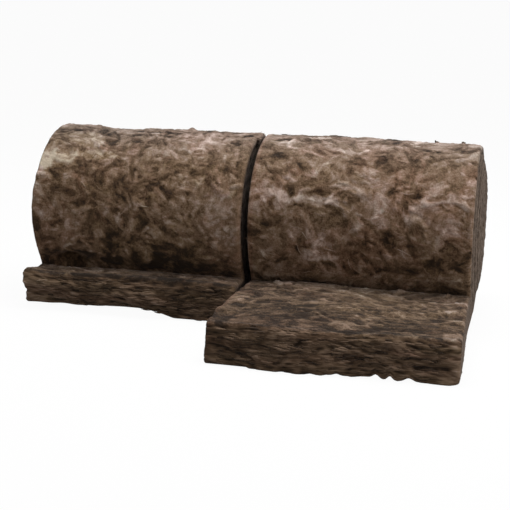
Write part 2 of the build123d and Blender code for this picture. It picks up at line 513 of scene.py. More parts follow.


# Wool relief

# Patches and single strands marked on each half, some of them painted shade along the creases:
# place across, angle round, half length, half width, lean of its length, tone, warmth
MARKS = ((
    (-0.290, 138, 0.300, 0.090, 0, -0.08, 0.0),
    (-0.558, 133, 0.020, 0.042, 0, 0.32, -0.5),
    (-0.566, 158, 0.012, 0.060, 0, 0.12, -0.2),
    (-0.570, 147, 0.008, 0.012, 0, 0.05, 1.6),
    (-0.535, 104, 0.030, 0.026, 0, -0.12, -0.2),
    (-0.470, 114, 0.050, 0.034, 5, 0.22, -1.2),
    (-0.520, 136, 0.045, 0.024, 0, 0.20, -1.2),
    (-0.433, 131, 0.050, 0.016, 0, 0.23, -1.4),
    (-0.122, 141, 0.045, 0.022, 0, -0.17, -0.2),
    (-0.425, 101, 0.030, 0.020, 0, -0.15, 0.0),
    (-0.475, 162, 0.045, 0.038, 0, -0.17, 0.0),
    (-0.546, 167, 0.028, 0.046, 0, 0.20, 0.0),
    (-0.405, 198, 0.040, 0.025, 0, -0.25, 0.0),
    (-0.565, 193, 0.015, 0.050, 0, -0.15, 0.0),
    (-0.375, 152, 0.040, 0.030, 0, -0.11, 0.0),
    (-0.330, 139, 0.045, 0.030, 0, 0.12, -0.2),
    (-0.255, 148, 0.040, 0.035, 0, -0.15, 0.0),
    (-0.205, 125, 0.060, 0.027, 0, 0.25, 0.2),
    (-0.155, 108, 0.050, 0.042, 0, 0.26, 0.3),
    (-0.035, 94, 0.030, 0.022, 0, 0.20, 0.3),
    (-0.045, 109, 0.022, 0.012, 0, -0.30, 0.0),
    (-0.040, 126, 0.020, 0.018, 0, 0.14, 0.2),
    (-0.318, 116, 0.032, 0.024, 0, -0.18, 0.0),
    (-0.105, 103, 0.025, 0.020, 0, -0.16, 0.0),
    (-0.365, 170, 0.040, 0.032, 0, 0.10, 0.0),
    (-0.215, 240, 0.100, 0.030, 0, -0.12, 0.0),
    (-0.160, 185, 0.048, 0.022, 0, -0.12, 0.0),
    (-0.085, 164, 0.060, 0.018, 0, 0.12, 0.2),
    (-0.066, 184, 0.035, 0.024, 0, 0.26, 0.2),
    (-0.185, 154, 0.034, 0.028, 0, -0.24, 0.0),
    # painted shade above the left crease, in this mark and the next
    (-0.330, 200, 0.130, 0.038, 0, -0.19, 0.0),
    (-0.165, 203, 0.115, 0.035, 0, -0.19, 0.0),
    (-0.466, 203, 0.032, 0.014, 0, 0.27, -0.2),
    # painted shade at the foot of the left roll, in its crease
    (-0.270, 211, 0.260, 0.018, 3, -0.20, 0.0),
    (-0.370, 222, 0.130, 0.030, 0, 0.14, 0.0),
    (-0.330, 104, 0.070, 0.006, 3, -0.24, 0.0),
    (-0.250, 99, 0.060, 0.005, -2, -0.22, 0.0),
    (-0.235, 107, 0.050, 0.005, 5, -0.20, 0.0),
    (-0.228, 151, 0.030, 0.004, -48, 0.20, 0.2),
    (-0.262, 160, 0.024, 0.004, -30, 0.16, 0.0),
    (-0.316, 163, 0.018, 0.004, 62, 0.22, 0.0),
    (-0.300, 164, 0.016, 0.004, 55, 0.20, 0.0),
    (-0.150, 162, 0.050, 0.003, 12, 0.16, 0.2),
    (-0.380, 176, 0.028, 0.004, -55, 0.14, 0.0),
    (-0.100, 126, 0.014, 0.005, 75, 0.18, 0.1),
    (-0.075, 128, 0.016, 0.005, 80, 0.18, 0.2),
), (
    (0.290, 115, 0.300, 0.060, 0, -0.06, 0.0),
    (0.078, 150, 0.050, 0.031, 0, 0.31, 0.5),
    (0.094, 158, 0.024, 0.030, 0, 0.26, 0.3),
    (0.052, 128, 0.030, 0.020, 0, -0.15, 0.0),
    (0.540, 324, 0.050, 0.050, 0, 0.16, 0.2),
    (0.150, 97, 0.140, 0.030, 0, 0.12, 1.0),
    (0.160, 115, 0.060, 0.022, 0, 0.14, 0.8),
    (0.140, 140, 0.045, 0.014, 0, 0.14, 0.5),
    (0.205, 151, 0.075, 0.013, 8, -0.16, 0.0),
    (0.183, 157, 0.045, 0.013, 0, 0.24, 0.2),
    (0.272, 127, 0.030, 0.030, 0, -0.11, 0.2),
    (0.300, 143, 0.050, 0.012, -8, 0.14, 0.3),
    (0.338, 153, 0.030, 0.030, 0, 0.13, 0.2),
    (0.385, 157, 0.022, 0.030, 0, 0.15, 0.2),
    (0.282, 164, 0.025, 0.035, 0, -0.11, 0.0),
    (0.218, 169, 0.042, 0.022, 0, -0.12, -0.4),
    (0.349, 169, 0.018, 0.016, 0, 0.24, 0.3),
    (0.345, 185, 0.060, 0.016, 0, -0.14, 0.0),
    (0.208, 194, 0.042, 0.032, 0, 0.30, 0.3),
    (0.152, 181, 0.040, 0.024, 0, 0.19, 0.2),
    (0.068, 184, 0.040, 0.050, 0, -0.11, -0.3),
    (0.365, 125, 0.040, 0.034, 0, -0.18, 0.0),
    (0.305, 106, 0.028, 0.035, 0, 0.17, 0.6),
    (0.268, 196, 0.022, 0.022, 0, -0.12, 0.0),
    (0.427, 116, 0.020, 0.022, 0, 0.18, 0.3),
    (0.457, 118, 0.040, 0.034, 0, -0.14, 0.0),
    (0.490, 153, 0.035, 0.024, 0, 0.28, 0.3),
    (0.487, 134, 0.022, 0.026, 0, -0.16, 0.0),
    (0.528, 170, 0.035, 0.028, 0, 0.16, 0.3),
    (0.556, 136, 0.018, 0.050, 0, 0.15, 0.7),
    (0.472, 175, 0.026, 0.016, 0, -0.13, 0.0),
    (0.266, 316, 0.075, 0.022, -44, -0.12, 0.0),
    (0.455, 199, 0.090, 0.024, 0, -0.20, 0.0),
    # painted shade along the right crease
    (0.250, 208, 0.250, 0.020, 0, -0.03, 0.0),
    (0.130, 118, 0.050, 0.005, 18, 0.16, 1.0),
    (0.175, 122, 0.045, 0.005, 22, 0.16, 0.9),
    (0.215, 118, 0.040, 0.004, 20, -0.14, 0.4),
    (0.245, 147, 0.085, 0.006, -5, 0.14, 0.2),
    (0.213, 156, 0.015, 0.004, -58, 0.40, 0.2),
    (0.300, 172, 0.050, 0.005, -38, 0.14, 0.1),
    (0.378, 143, 0.050, 0.004, 88, -0.14, 1.0),
    (0.392, 146, 0.055, 0.005, 80, 0.14, 1.0),
    (0.412, 142, 0.045, 0.004, 96, 0.12, 0.8),
    (0.408, 164, 0.013, 0.006, 70, 0.26, 0.2),
    (0.440, 128, 0.045, 0.006, 100, 0.12, 0.5),
    (0.505, 158, 0.040, 0.004, 24, -0.20, 0.0),
    (0.500, 172, 0.040, 0.005, 18, 0.14, 0.3),
))
MARK_FADE = (1.55, 0.65)  # a mark fades between these squares of the distance, in its own half sizes
MARK_SMOKE = (0.008, 0.007)  # wisps that fray its edge: width, length
MARK_SMOKE_REACH = 0.008
MARK_FRAY = 0.55

# Broad swells and dips of each half: place across, angle round, half width, half length, height
SWELLS = ((
    (-0.400, 95, 0.070, 0.130, -0.007),
    (-0.210, 80, 0.009, 0.012, 0.009),
    (-0.030, 98, 0.030, 0.060, 0.005),
), (
    (0.230, 96, 0.190, 0.130, 0.006),
    (0.458, 79, 0.006, 0.008, 0.007),
    (0.527, 79, 0.005, 0.008, 0.008),
))

# Matted wool of the faces. Patches have a width and a length round the outline.
FELT_CELL = 0.0025
FELT_TOP_REACH = 0.10  # the roll's top reaches this far round on both sides
FELT_TAIL_FADE = (-0.02, 0.03)  # from the crease, where the roll's wool turns into the tail's
FELT_FRONT_FADE = 0.03  # either side of the roll's top, where its marked front begins
FELT_CALM_SHARE = 0.55  # how much straighter the fibres lie on the tail
FELT_TOP_CALM_SHARE = 0.9  # and how much of that holds for the roll's top

# Lie of its fibres, in radians
LIE_SWAY, LIE_SWAY_PATCH = 0.9, (0.04, 0.03)
LIE_TURN, LIE_TURN_PATCH = 0.7, (0.014, 0.01)
LIE_CROSS, LIE_CROSS_PATCH, LIE_CROSS_ABOVE = 1.0, (0.02, 0.016), 0.4
LIE_BLUR = 0.003

# Flat locks that lie over each other: how many to a cell of the field, length, width, contrast
WOOL_LOCKS = ((0.0020, 0.100, 0.042, 0.70), (0.008, 0.055, 0.018, 0.90), (0.030, 0.026, 0.008, 0.50))
LOCK_RELIEF = 0.0011
LOCK_TONE, LOCK_TOP_TONE, LOCK_TAIL_TONE = 0.13, 0.05, 0.04
LOCK_DARKEST, LOCK_TAIL_RISE = -3, 2.3  # least tone of a lock, and what is added on the tail
LOCK_WARMTH = 0.5

# Sizes of the tufts that lie on each other
WOOL_GRAINS = (0.0024, 0.0044, 0.009)
GRAIN_LENGTH_SHARE = 0.8
GRAIN_REACH_SHARE = 2.5
GRAIN_RELIEF_SHARE = 0.04
GRAIN_TONE = 0.045

FELT_SWELL, FELT_SWELL_PATCH = 0.0022, (0.08, 0.07)
FELT_TAIL_RELIEF_SHARE = 0.5
FELT_TONE = 0.45
FELT_CLOUD_TONE, FELT_CLOUD_PATCH = 0.04, (0.07, 0.055)
FELT_CLOUD_CALM_SHARE = 0.7  # how much weaker these clouds are where there are marks
# Painted shade in the relief's hollows, and the blur that finds them
FELT_HOLLOW_PAINTED_SHADE, FELT_HOLLOW = 0.06, 0.005
FELT_WARMTH, FELT_WARMTH_PATCH = 0.35, (0.08, 0.06)

# Torn front of a tail, whose wool lies in layers: width, height, reach along the layers, relief, tone
TORN_CELL = 0.0018
TORN_LAYERS = (
    (0.010, 0.0052, 0.016, 0.0019, 0.025),
    (0.005, 0.0024, 0.009, 0.0011, 0.045),
    (0.0020, 0.0013, 0.007, 0.0006, 0.07),
)
TORN_LUMP, TORN_LUMP_RELIEF, TORN_LUMP_TONE = (0.05, 0.03), 0.0035, 0.03
TORN_WAVE, TORN_WAVE_PATCH = 0.17, (0.03, 0.012)
TORN_RIPPLE, TORN_RIPPLE_PATCH = 0.13, (0.008, 0.005)
# Darker than the felt: darker wool from inside the blanket, and painted shade of its deep crevices
TORN_TONE = 0.25
# Painted shade in the relief's hollows, and the blur that finds them
TORN_HOLLOW_PAINTED_SHADE, TORN_HOLLOW = 0.14, 0.004
TORN_WARMTH, TORN_WARMTH_PATCH, TORN_WARMTH_REACH = 0.35, (0.03, 0.006), 0.04
TORN_SPARE = 0.02  # the field reaches this far above the tail's top


def felted_wool(outline, low_x, high_x, marks, swells, seed):
    """Matted wool all round the outline: a field with relief in metres, tone and warmth."""
    field = WoolField(low_x, high_x, outline.run[-1], FELT_CELL, seed)
    at_front, at_tail = outline.start(FRONT), outline.start(TAIL_TOP)
    top = hump(field.v, at_front, FELT_TOP_REACH)
    tail = eased(at_tail + FELT_TAIL_FADE[0], at_tail + FELT_TAIL_FADE[1], field.v)
    marked = eased(at_front - FELT_FRONT_FADE, at_front + FELT_FRONT_FADE, field.v) * (1 - tail)

    calm = 1 - FELT_CALM_SHARE * np.maximum(FELT_TOP_CALM_SHARE * top, tail)
    patches = np.where(field.cloud(*LIE_TURN_PATCH) > 0, LIE_TURN, -LIE_TURN)
    patches = patches + np.where(field.cloud(*LIE_CROSS_PATCH) > LIE_CROSS_ABOVE, LIE_CROSS, 0.0)
    field.lay(calm * (LIE_SWAY * field.cloud(*LIE_SWAY_PATCH) + field.blurred(patches, LIE_BLUR, LIE_BLUR)))
    lock_tone, lock_relief, lock_warmth = field.plates(WOOL_LOCKS)

    relief = FELT_SWELL * field.cloud(*FELT_SWELL_PATCH) + LOCK_RELIEF * lock_relief
    clouds = FELT_CLOUD_TONE * (1 - FELT_CLOUD_CALM_SHARE * marked) * field.cloud(*FELT_CLOUD_PATCH)
    lock_weight = LOCK_TONE + LOCK_TOP_TONE * top + LOCK_TAIL_TONE * tail
    tone = FELT_TONE + clouds + lock_weight * np.maximum(lock_tone, LOCK_TAIL_RISE * tail + LOCK_DARKEST)
    for size in WOOL_GRAINS:
        tufts = field.combed(field.cloud(size, GRAIN_LENGTH_SHARE * size), GRAIN_REACH_SHARE * size)
        relief += GRAIN_RELIEF_SHARE * size * tufts
        tone += GRAIN_TONE * tufts
    relief *= 1 + FELT_TAIL_RELIEF_SHARE * tail
    # Painted shade in the hollows
    tone -= FELT_HOLLOW_PAINTED_SHADE * field.hollows(relief, FELT_HOLLOW)
    smoke = field.combed(field.cloud(*MARK_SMOKE), MARK_SMOKE_REACH)
    warmth = LOCK_WARMTH * lock_warmth + FELT_WARMTH * field.cloud(*FELT_WARMTH_PATCH)

    for place, angle, half_length, half_width, lean, tone_step, warmth_step in marks:
        du, dv = field.u - place, field.v - outline.at_angle(angle)
        cosine, sine = math.cos(math.radians(lean)), math.sin(math.radians(lean))
        along = (du * cosine + dv * sine) / half_length
        across = (dv * cosine - du * sine) / half_width
        weight = eased(*MARK_FADE, along**2 + across**2 + MARK_FRAY * smoke)
        tone += tone_step * weight
        warmth += warmth_step * weight
    for place, angle, half_width, half_length, height in swells:
        middle = outline.at_angle(angle)
        relief += height * hump(field.u, place, half_width) * hump(field.v, middle, half_length)
    field.relief, field.tone, field.warmth = relief, tone, warmth
    return field


def torn_wool(low_x, high_x, height, seed):
    """Torn front of a tail: a field over u and height with relief, tone and warmth as above."""
    field = WoolField(low_x, high_x, height, TORN_CELL, seed)
    field.lay(TORN_WAVE * field.cloud(*TORN_WAVE_PATCH) + TORN_RIPPLE * field.cloud(*TORN_RIPPLE_PATCH))
    relief, tone = 0.0, TORN_TONE
    for wide, high, reach, relief_step, tone_step in TORN_LAYERS:
        layers = field.combed(field.cloud(wide, high), reach)
        relief = relief + relief_step * layers
        tone = tone + tone_step * layers
    lumps = field.cloud(*TORN_LUMP)
    relief = relief + TORN_LUMP_RELIEF * lumps
    tone = tone + TORN_LUMP_TONE * lumps
    # Painted shade in the hollows
    field.relief, field.tone = relief, tone - TORN_HOLLOW_PAINTED_SHADE * field.hollows(relief, TORN_HOLLOW)
    field.warmth = TORN_WARMTH * field.combed(field.cloud(*TORN_WARMTH_PATCH), TORN_WARMTH_REACH)
    return field


# Skins

RIM_STEPS = 7  # points round the rounded edge of an end


def in_scene(name, data):
    """A new object at the origin, in the scene, with a mesh, lamp or camera."""
    piece = bpy.data.objects.new(name, data)
    bpy.context.scene.collection.objects.link(piece)
    return piece


def smooth_mesh(name, points, faces):
    """A new mesh with smooth faces."""
    mesh = bpy.data.meshes.new(name)
    mesh.from_pydata(points, [], faces)
    mesh.polygons.foreach_set("use_smooth", np.ones(len(faces), bool))
    return mesh


def store(mesh, title, numbers):
    """Puts numbers or vectors on a mesh's points, where the materials read them."""
    kind, field = ("FLOAT", "value") if numbers.ndim == 1 else ("FLOAT_VECTOR", "vector")
    mesh.attributes.new(title, kind, "POINT").data.foreach_set(field, numbers.astype(np.float32).ravel())


def face_outward(mesh):
    """Turns all faces of a closed mesh outward."""
    shell = bmesh.new()
    shell.from_mesh(mesh)
    bmesh.ops.recalc_face_normals(shell, faces=shell.faces)
    shell.to_mesh(mesh)
    shell.free()


def column_places(low_x, high_x, low_rim, high_rim, step):
    """Places across the width, and how far the skin is drawn in at each to round the rims."""
    bend = np.radians(np.linspace(90, 0, RIM_STEPS))
    out, drawn = 1 - np.sin(bend), 1 - np.cos(bend)
    count = round((high_x - low_x - low_rim - high_rim) / step)
    middle = np.linspace(low_x + low_rim, high_x - high_rim, count + 1)[1:-1]
    places = np.concatenate([low_x + low_rim * out, middle, high_x - high_rim * out[::-1]])
    drawn_in = np.concatenate([low_rim * drawn, np.zeros(len(middle)), high_rim * drawn[::-1]])
    return places, drawn_in


class HalfSkin:
    """Builds the closed skin of one half roll: its points, what the materials read at each, and its faces."""

    DRAW_SHARE = 0.8  # the skin is drawn in by at most this much of its room

    # The left tail's torn foot, at places away from the slit
    LEFT_LIFT = (0.17, 0.235)  # where it leaves the floor
    LEFT_LIFT_SHARE, LEFT_WAVE_SHARE, LEFT_WAVES = 0.85, 0.3, (14, 3)
    LEFT_SINK, LEFT_SINK_SHARE = (0.42, 0.52), 0.3  # where it comes down again a little

    # Scallops torn out of the right tail's foot: place away from the slit, half width, share of the lift
    RIGHT_SCALLOPS = (
        (0.313, 0.009, 0.5), (0.378, 0.020, 0.5), (0.402, 0.008, 1.0),
        (0.434, 0.007, 1.1), (0.474, 0.011, 0.9),
    )

    # Loose lie of a tail
    FLARE_RUN = 0.16  # how far in from an end its corner spreads
    CORNER_RUN = 0.06  # how far in its top corner is lifted
    TOE_BULGE_SHARE, TOE_BULGE_PLACE, TOE_BULGE_RUN = 0.85, 0.24, 0.13
    LIFT_POWER = 1.5

    # The left half's lip, which leans over the slit at the roll's top
    LIP_REACH, LIP_RUN, LIP_SIZE = 0.010, 0.05, (0.045, 0.03)

    # Hollow below the left end of the roll: depth, place from the end and the crease, half width, half height
    HOLLOW_DEPTH, HOLLOW_PLACE, HOLLOW_SIZE = 0.03, (0.09, -0.022), (0.04, 0.02)

    # Split in the left end of the tail's torn front, below which the wool stands back
    SPLIT_RUN, SPLIT_HEIGHT, SPLIT_SIZE = (0.11, 0.05), 0.036, 0.006
    SPLIT_DEPTH, SPLIT_STEP, SPLIT_STEP_FOOT = 0.012, 0.008, 0.028

    # Tones of the edges, each with the run in from its edge over which it fades
    LEFT_LIP_TONE, LEFT_LIP_SHARE, LEFT_LIP_FADE = 0.40, 0.6, (0.024, 0.01)
    LEFT_CORNER_TONE, LEFT_CORNER_FADE = 0.14, (0.14, 0.03)
    RIGHT_LIP_WARMTH, RIGHT_LIP_FADE = 1.5, (0.016, 0.006)
    RIGHT_CORNER_TONE, RIGHT_CORNER_FADE = 0.16, (0.030, 0.006)

    # Wall of the eye
    EYE_SIDES, EYE_RINGS, EYE_TONE = 28, 40, 0.3
    EYE_WAVE_SHARE, EYE_WAVES = 0.06, (60, 3)

    # Points of the cut ends, in staggered rows: a step for outer ends and one for those in the slit
    END_STEPS = (0.0039, 0.009)
    ROW_SHARE = 0.866  # of a step between rows
    RIM_GAP_SHARE, EYE_GAP_SHARE, EYE_CLEAR_SHARE = 0.6, 0.5, 1.06
    JITTER_SHARE, JITTER_SCALE = 0.25, 190
    EYE_OPEN_SHARE = 0.9  # of its radius, within which triangles are left out
    CDT_KEEP_INSIDE, CDT_CLOSENESS = 1, 1e-7

    # Relief and tone of the cut ends
    SEAM_HALF_WIDTH, SEAM_DEPTH, SEAM_TONE = 0.0045, 0.004, 0.25
    BULGE_RUN = 0.09
    LAYER_SCALES, LAYER_RELIEF, LAYER_TONE = (260, 9), 0.0008, 0.06
    ROUGH_SCALE, ROUGH_RELIEF = 60, 0.0014
    CLOUD_SCALE, CLOUD_TONE = 12, 0.05
    # Tone of the outer ends, and of the ends in the slit, which are darker there by painted shade
    END_TONES = (0.355, 0.28)

    def __init__(self, side, shape):
        self.side, self.shape, self.seed = side, shape, SKIN_SEEDS[side]
        low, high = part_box(HALF_NODES[side])
        self.radius = (high.z - low.z) / 2
        self.axis_y = high.y - self.radius
        self.outline = Outline(self.radius, self.axis_y - low.y, shape, side)
        if side == LEFT:
            self.low_x, self.high_x = low.x, high.x - shape.slit_draw[side]
            self.outer_x, self.slit_x, self.away = self.low_x, self.high_x, -1
        else:
            self.low_x, self.high_x = low.x + shape.slit_draw[side], high.x
            self.outer_x, self.slit_x, self.away = self.high_x, self.low_x, 1
        self.count = 0
        self.points, self.faces, self.kinds = [], [], []
        self.values = {name: [] for name in ("tone", "warmth", "dust", "cut", "lie", "felt", "blanket")}

    def keep(self, points, **values):
        """Adds points with what the materials read there, and gives their indices."""
        first = self.count
        self.count += len(points)
        self.points.append(points)
        for name, parts in self.values.items():
            shape = (len(points), 3) if name == "blanket" else len(points)
            parts.append(np.broadcast_to(values.get(name, 0.0), shape).astype(np.float32))
        return first + np.arange(len(points))

    def add_tube(self, index, y, z, kind):
        """Adds faces between points whose rows close round. Gives both rims: their points, with y and z."""
        after = np.roll(index, -1, axis=0)
        quads = np.stack([index[:, :-1], index[:, 1:], after[:, 1:], after[:, :-1]], axis=-1).reshape(-1, 4)
        self.faces += quads.tolist()
        self.kinds += [kind] * len(quads)
        flat = np.stack([y, z], axis=-1)
        return [(index[:, column], flat[:, column]) for column in (0, -1)]

    def foot_lift(self, x):
        """How far the torn foot stands off the floor across the width."""
        from_slit = np.abs(x)
        if self.side == LEFT:
            wave = soft_noise(x * self.LEFT_WAVES[0], x * self.LEFT_WAVES[1], self.seed)
            share = eased(*self.LEFT_LIFT, from_slit) * (self.LEFT_LIFT_SHARE + self.LEFT_WAVE_SHARE * wave)
            share = share * (1 - self.LEFT_SINK_SHARE * eased(*self.LEFT_SINK, from_slit))
        else:
            share = sum(size * hump(from_slit, at, wide) for at, wide, size in self.RIGHT_SCALLOPS)
        return self.shape.lift[self.side] * share

    def loosened(self, x, y, z):
        """Moves points as the loose blanket lies: spread at the tail's corners and lifted at its foot."""
        outline, shape, side = self.outline, self.shape, self.side
        out = eased(outline.crease_y, -outline.reach, y)
        below = np.clip(1 - z / outline.loft, 0, 1)
        near = eased(shape.undercut[side] - outline.reach, -outline.reach, y)
        from_end, from_slit = np.abs(x - self.outer_x), np.abs(x - self.slit_x)
        spread = eased(self.FLARE_RUN, 0.0, from_end) * shape.outer_flare[side]
        spread = spread - eased(self.FLARE_RUN, 0.0, from_slit) * shape.slit_flare[side]
        corner = shape.corner_lift[side] * eased(self.CORNER_RUN, 0.0, from_end) * near * (1 - below)
        new_x = x + self.away * (out * spread + corner)
        if side == LEFT:
            lip = hump(y, 0.0, self.LIP_SIZE[0]) * hump(z, 2 * self.radius, self.LIP_SIZE[1])
            new_x = new_x + self.LIP_REACH * lip * eased(self.LIP_RUN, 0.0, from_slit)
        bulge = self.TOE_BULGE_SHARE * hump(np.abs(x), self.TOE_BULGE_PLACE, self.TOE_BULGE_RUN)
        new_y = y - shape.toe[side] * (1 + bulge) * below * near
        new_z = z + self.foot_lift(x) * below**self.LIFT_POWER * near + corner
        return np.stack([new_x, new_y + self.axis_y, new_z], axis=-1)

    def dents(self, u, v, z, cut):
        """How deep the left half is hollowed below its end and split in its tail's front."""
        from_end = u - self.low_x
        hollow_v = self.outline.start(TAIL_TOP) + self.HOLLOW_PLACE[1]
        hollow = hump(from_end, self.HOLLOW_PLACE[0], self.HOLLOW_SIZE[0])
        hollow = hollow * hump(v, hollow_v, self.HOLLOW_SIZE[1])
        split = self.SPLIT_DEPTH * hump(z, self.SPLIT_HEIGHT, self.SPLIT_SIZE)
        split = split + self.SPLIT_STEP * eased(self.SPLIT_HEIGHT, self.SPLIT_STEP_FOOT, z)
        return self.HOLLOW_DEPTH * hollow + split * eased(*self.SPLIT_RUN, from_end) * cut

    def edged(self, tone, warmth, u, cut):
        """Tone and warmth with the paler and warmer wool along the edges."""
        if self.side == LEFT:
            lip = self.LEFT_LIP_SHARE * eased(*self.LEFT_LIP_FADE, self.high_x - u)
            tone = tone + lip * (self.LEFT_LIP_TONE - tone)
            tone = tone + self.LEFT_CORNER_TONE * cut * eased(*self.LEFT_CORNER_FADE, u - self.low_x)
        else:
            warmth = warmth + self.RIGHT_LIP_WARMTH * eased(*self.RIGHT_LIP_FADE, u - self.low_x)
            tone = tone + self.RIGHT_CORNER_TONE * cut * eased(*self.RIGHT_CORNER_FADE, self.high_x - u)
        return tone, warmth

    def mantle(self):
        """The faces of the blanket: a grid round the outline and across the width."""
        outline, shape, side = self.outline, self.shape, self.side
        rims = [shape.outer_rim[side], shape.slit_rim[side]]
        if side == RIGHT:
            rims.reverse()
        places, drawn_in = column_places(self.low_x, self.high_x, *rims, shape.column_step)
        size = (len(outline.points), len(places))

        def across(row):
            return np.broadcast_to(row[:, None], size)

        u, v = np.broadcast_to(places, size), across(outline.run)
        base_y, base_z, out_y, out_z = [across(row) for row in (*outline.points.T, *outline.normals.T)]
        felt = felted_wool(outline, self.low_x, self.high_x, MARKS[side], SWELLS[side], self.seed)
        torn = torn_wool(self.low_x, self.high_x, outline.loft + TORN_SPARE, self.seed + TORN_SEED)
        cut = across(outline.torn)

        def blend(name):
            smooth = felt.at(getattr(felt, name), u, v)
            layered = torn.at(getattr(torn, name), u, base_z)
            return smooth + cut * (layered - smooth)

        height = blend("relief") * across(outline.quiet)
        if side == LEFT:
            height = height - self.dents(u, v, base_z, cut)
        height = np.maximum(height - drawn_in, -self.DRAW_SHARE * across(outline.rounds))
        y = base_y + out_y * height
        z = np.maximum(base_z + out_z * height, 0)
        # The outline's painted shade darkens the tone
        tone, warmth = self.edged(blend("tone") + across(outline.shade), blend("warmth"), u, cut)
        index = self.keep(
            self.loosened(u, y, z).reshape(-1, 3), tone=tone.ravel(), warmth=warmth.ravel(), cut=cut.ravel(),
            dust=across(outline.dust).ravel(), lie=((1 - cut) * felt.at(felt.angle, u, v)).ravel(),
            felt=across(outline.stretches != UNDER).ravel(),
            blanket=np.stack([u, v, 0 * u], axis=-1).reshape(-1, 3))
        self.rims = self.add_tube(index.reshape(size), y, z, FACE)

    def eye(self):
        """The wall of the eye, from one end to the other."""
        x, angle = np.meshgrid(
            np.linspace(self.low_x, self.high_x, self.EYE_RINGS),
            np.linspace(0, 2 * math.pi, self.EYE_SIDES, endpoint=False), indexing="ij")
        wave = soft_noise(x * self.EYE_WAVES[0], angle * self.EYE_WAVES[1], self.seed + EYE_SEED)
        radius = self.shape.eye_radius * (1 + self.EYE_WAVE_SHARE * wave)
        y, z = radius * np.cos(angle), self.shape.eye_height + radius * np.sin(angle)
        points = np.stack([x, y + self.axis_y, z], axis=-1).reshape(-1, 3)
        index = self.keep(points, tone=self.EYE_TONE, cut=1.0).reshape(x.shape)
        self.eye_rims = self.add_tube(index.T, y.T, z.T, END)

    def end_places(self, in_slit):
        """Points spread over one cut end, between its rim and the eye."""
        outline, shape = self.outline, self.shape
        step = self.END_STEPS[in_slit]
        rim = (shape.slit_rim if in_slit else shape.outer_rim)[self.side]
        y, z = np.meshgrid(
            np.arange(-outline.reach, self.radius, step),
            np.arange(0, 2 * self.radius, step * self.ROW_SHARE))
        y = y + (np.arange(z.shape[0]) % 2 * step / 2)[:, None]
        scale, jitter = self.JITTER_SCALE, self.JITTER_SHARE * step
        y = y + jitter * soft_noise(y * scale, z * scale, self.seed + ROW_SEED)
        z = z + jitter * soft_noise(y * scale, z * scale, self.seed + COLUMN_SEED)
        clear = shape.eye_radius * self.EYE_CLEAR_SHARE + self.EYE_GAP_SHARE * step
        wanted = outline.inside(y, z, rim + self.RIM_GAP_SHARE * step)
        wanted &= np.hypot(y, z - shape.eye_height) > clear
        return y[wanted], z[wanted]

    def end(self, high):
        """One cut end: the turns of the winding and the layers of the tail, from the rim in to the eye."""
        outline, seed = self.outline, self.seed
        in_slit = high != (self.side == RIGHT)
        y, z = self.end_places(in_slit)
        depth = outline.depth(y, z)
        share = np.mod(depth / outline.turn, 1)
        from_seam = np.where(depth > 0, np.minimum(share, 1 - share) * outline.turn, outline.turn)
        groove = 1 - eased(0.0, self.SEAM_HALF_WIDTH, from_seam)
        inward = outline.front_radius - np.hypot(y, z - outline.front_z)
        bulge = 0.0 if in_slit else self.shape.end_bulge[self.side]
        layer_scale, sway_scale = self.LAYER_SCALES
        layers = soft_noise(outline.layer(y, z) * layer_scale, (y + z) * sway_scale, seed + LAYER_SEED)
        rough = layered_noise(y * self.ROUGH_SCALE, z * self.ROUGH_SCALE, seed + ROUGH_SEED)
        clouds = layered_noise(y * self.CLOUD_SCALE, z * self.CLOUD_SCALE, seed + CLOUD_SEED)
        out = eased(0.0, self.BULGE_RUN, inward) * bulge - self.SEAM_DEPTH * groove
        out = out + self.ROUGH_RELIEF * rough + self.LAYER_RELIEF * layers
        tone = self.END_TONES[in_slit] + self.LAYER_TONE * layers + self.CLOUD_TONE * clouds
        tone = tone - self.SEAM_TONE * groove
        x = self.high_x + out if high else self.low_x - out
        # The cut ends are fully greyed by dust and painted sheen
        index = self.keep(self.loosened(x, y, z), tone=tone, cut=1.0, dust=1.0)
        self.fill_end(self.rims[high], self.eye_rims[high], index, np.stack([y, z], axis=-1))

    def fill_end(self, rim, eye_rim, index, flat):
        """Adds triangles between the points of an end, its rim and its eye, and leaves the eye open."""
        real = np.concatenate([rim[0], eye_rim[0], index])
        flat = np.concatenate([rim[1], eye_rim[1], flat])
        edges = []
        for start, count in ((0, len(rim[0])), (len(rim[0]), len(eye_rim[0]))):
            edges += [(start + n, start + (n + 1) % count) for n in range(count)]
        places = [Vector(place) for place in flat]
        made = delaunay_2d_cdt(places, edges, [], self.CDT_KEEP_INSIDE, self.CDT_CLOSENESS)
        for triangle in made[2]:
            corners = [made[3][n][0] for n in triangle]
            y, z = flat[corners].mean(axis=0)
            if math.hypot(y, z - self.shape.eye_height) > self.shape.eye_radius * self.EYE_OPEN_SHARE:
                self.faces.append(real[corners].tolist())
                self.kinds.append(END)

    def build(self, name, materials):
        """The finished skin as an object, with its attributes."""
        self.mantle()
        self.eye()
        self.end(False)
        self.end(True)
        points = np.concatenate(self.points)
        mesh = smooth_mesh(name, points.tolist(), self.faces)
        for material in materials:
            mesh.materials.append(material)
        mesh.polygons.foreach_set("material_index", np.array(self.kinds, np.int32))
        for title, parts in self.values.items():
            store(mesh, title, np.concatenate(parts))
        y, z = points[:, 1] - self.axis_y, points[:, 2]
        store(mesh, "end_place", np.stack([self.outline.layer(y, z), y, z], axis=-1))
        face_outward(mesh)
        return in_scene(name, mesh)


# Materials

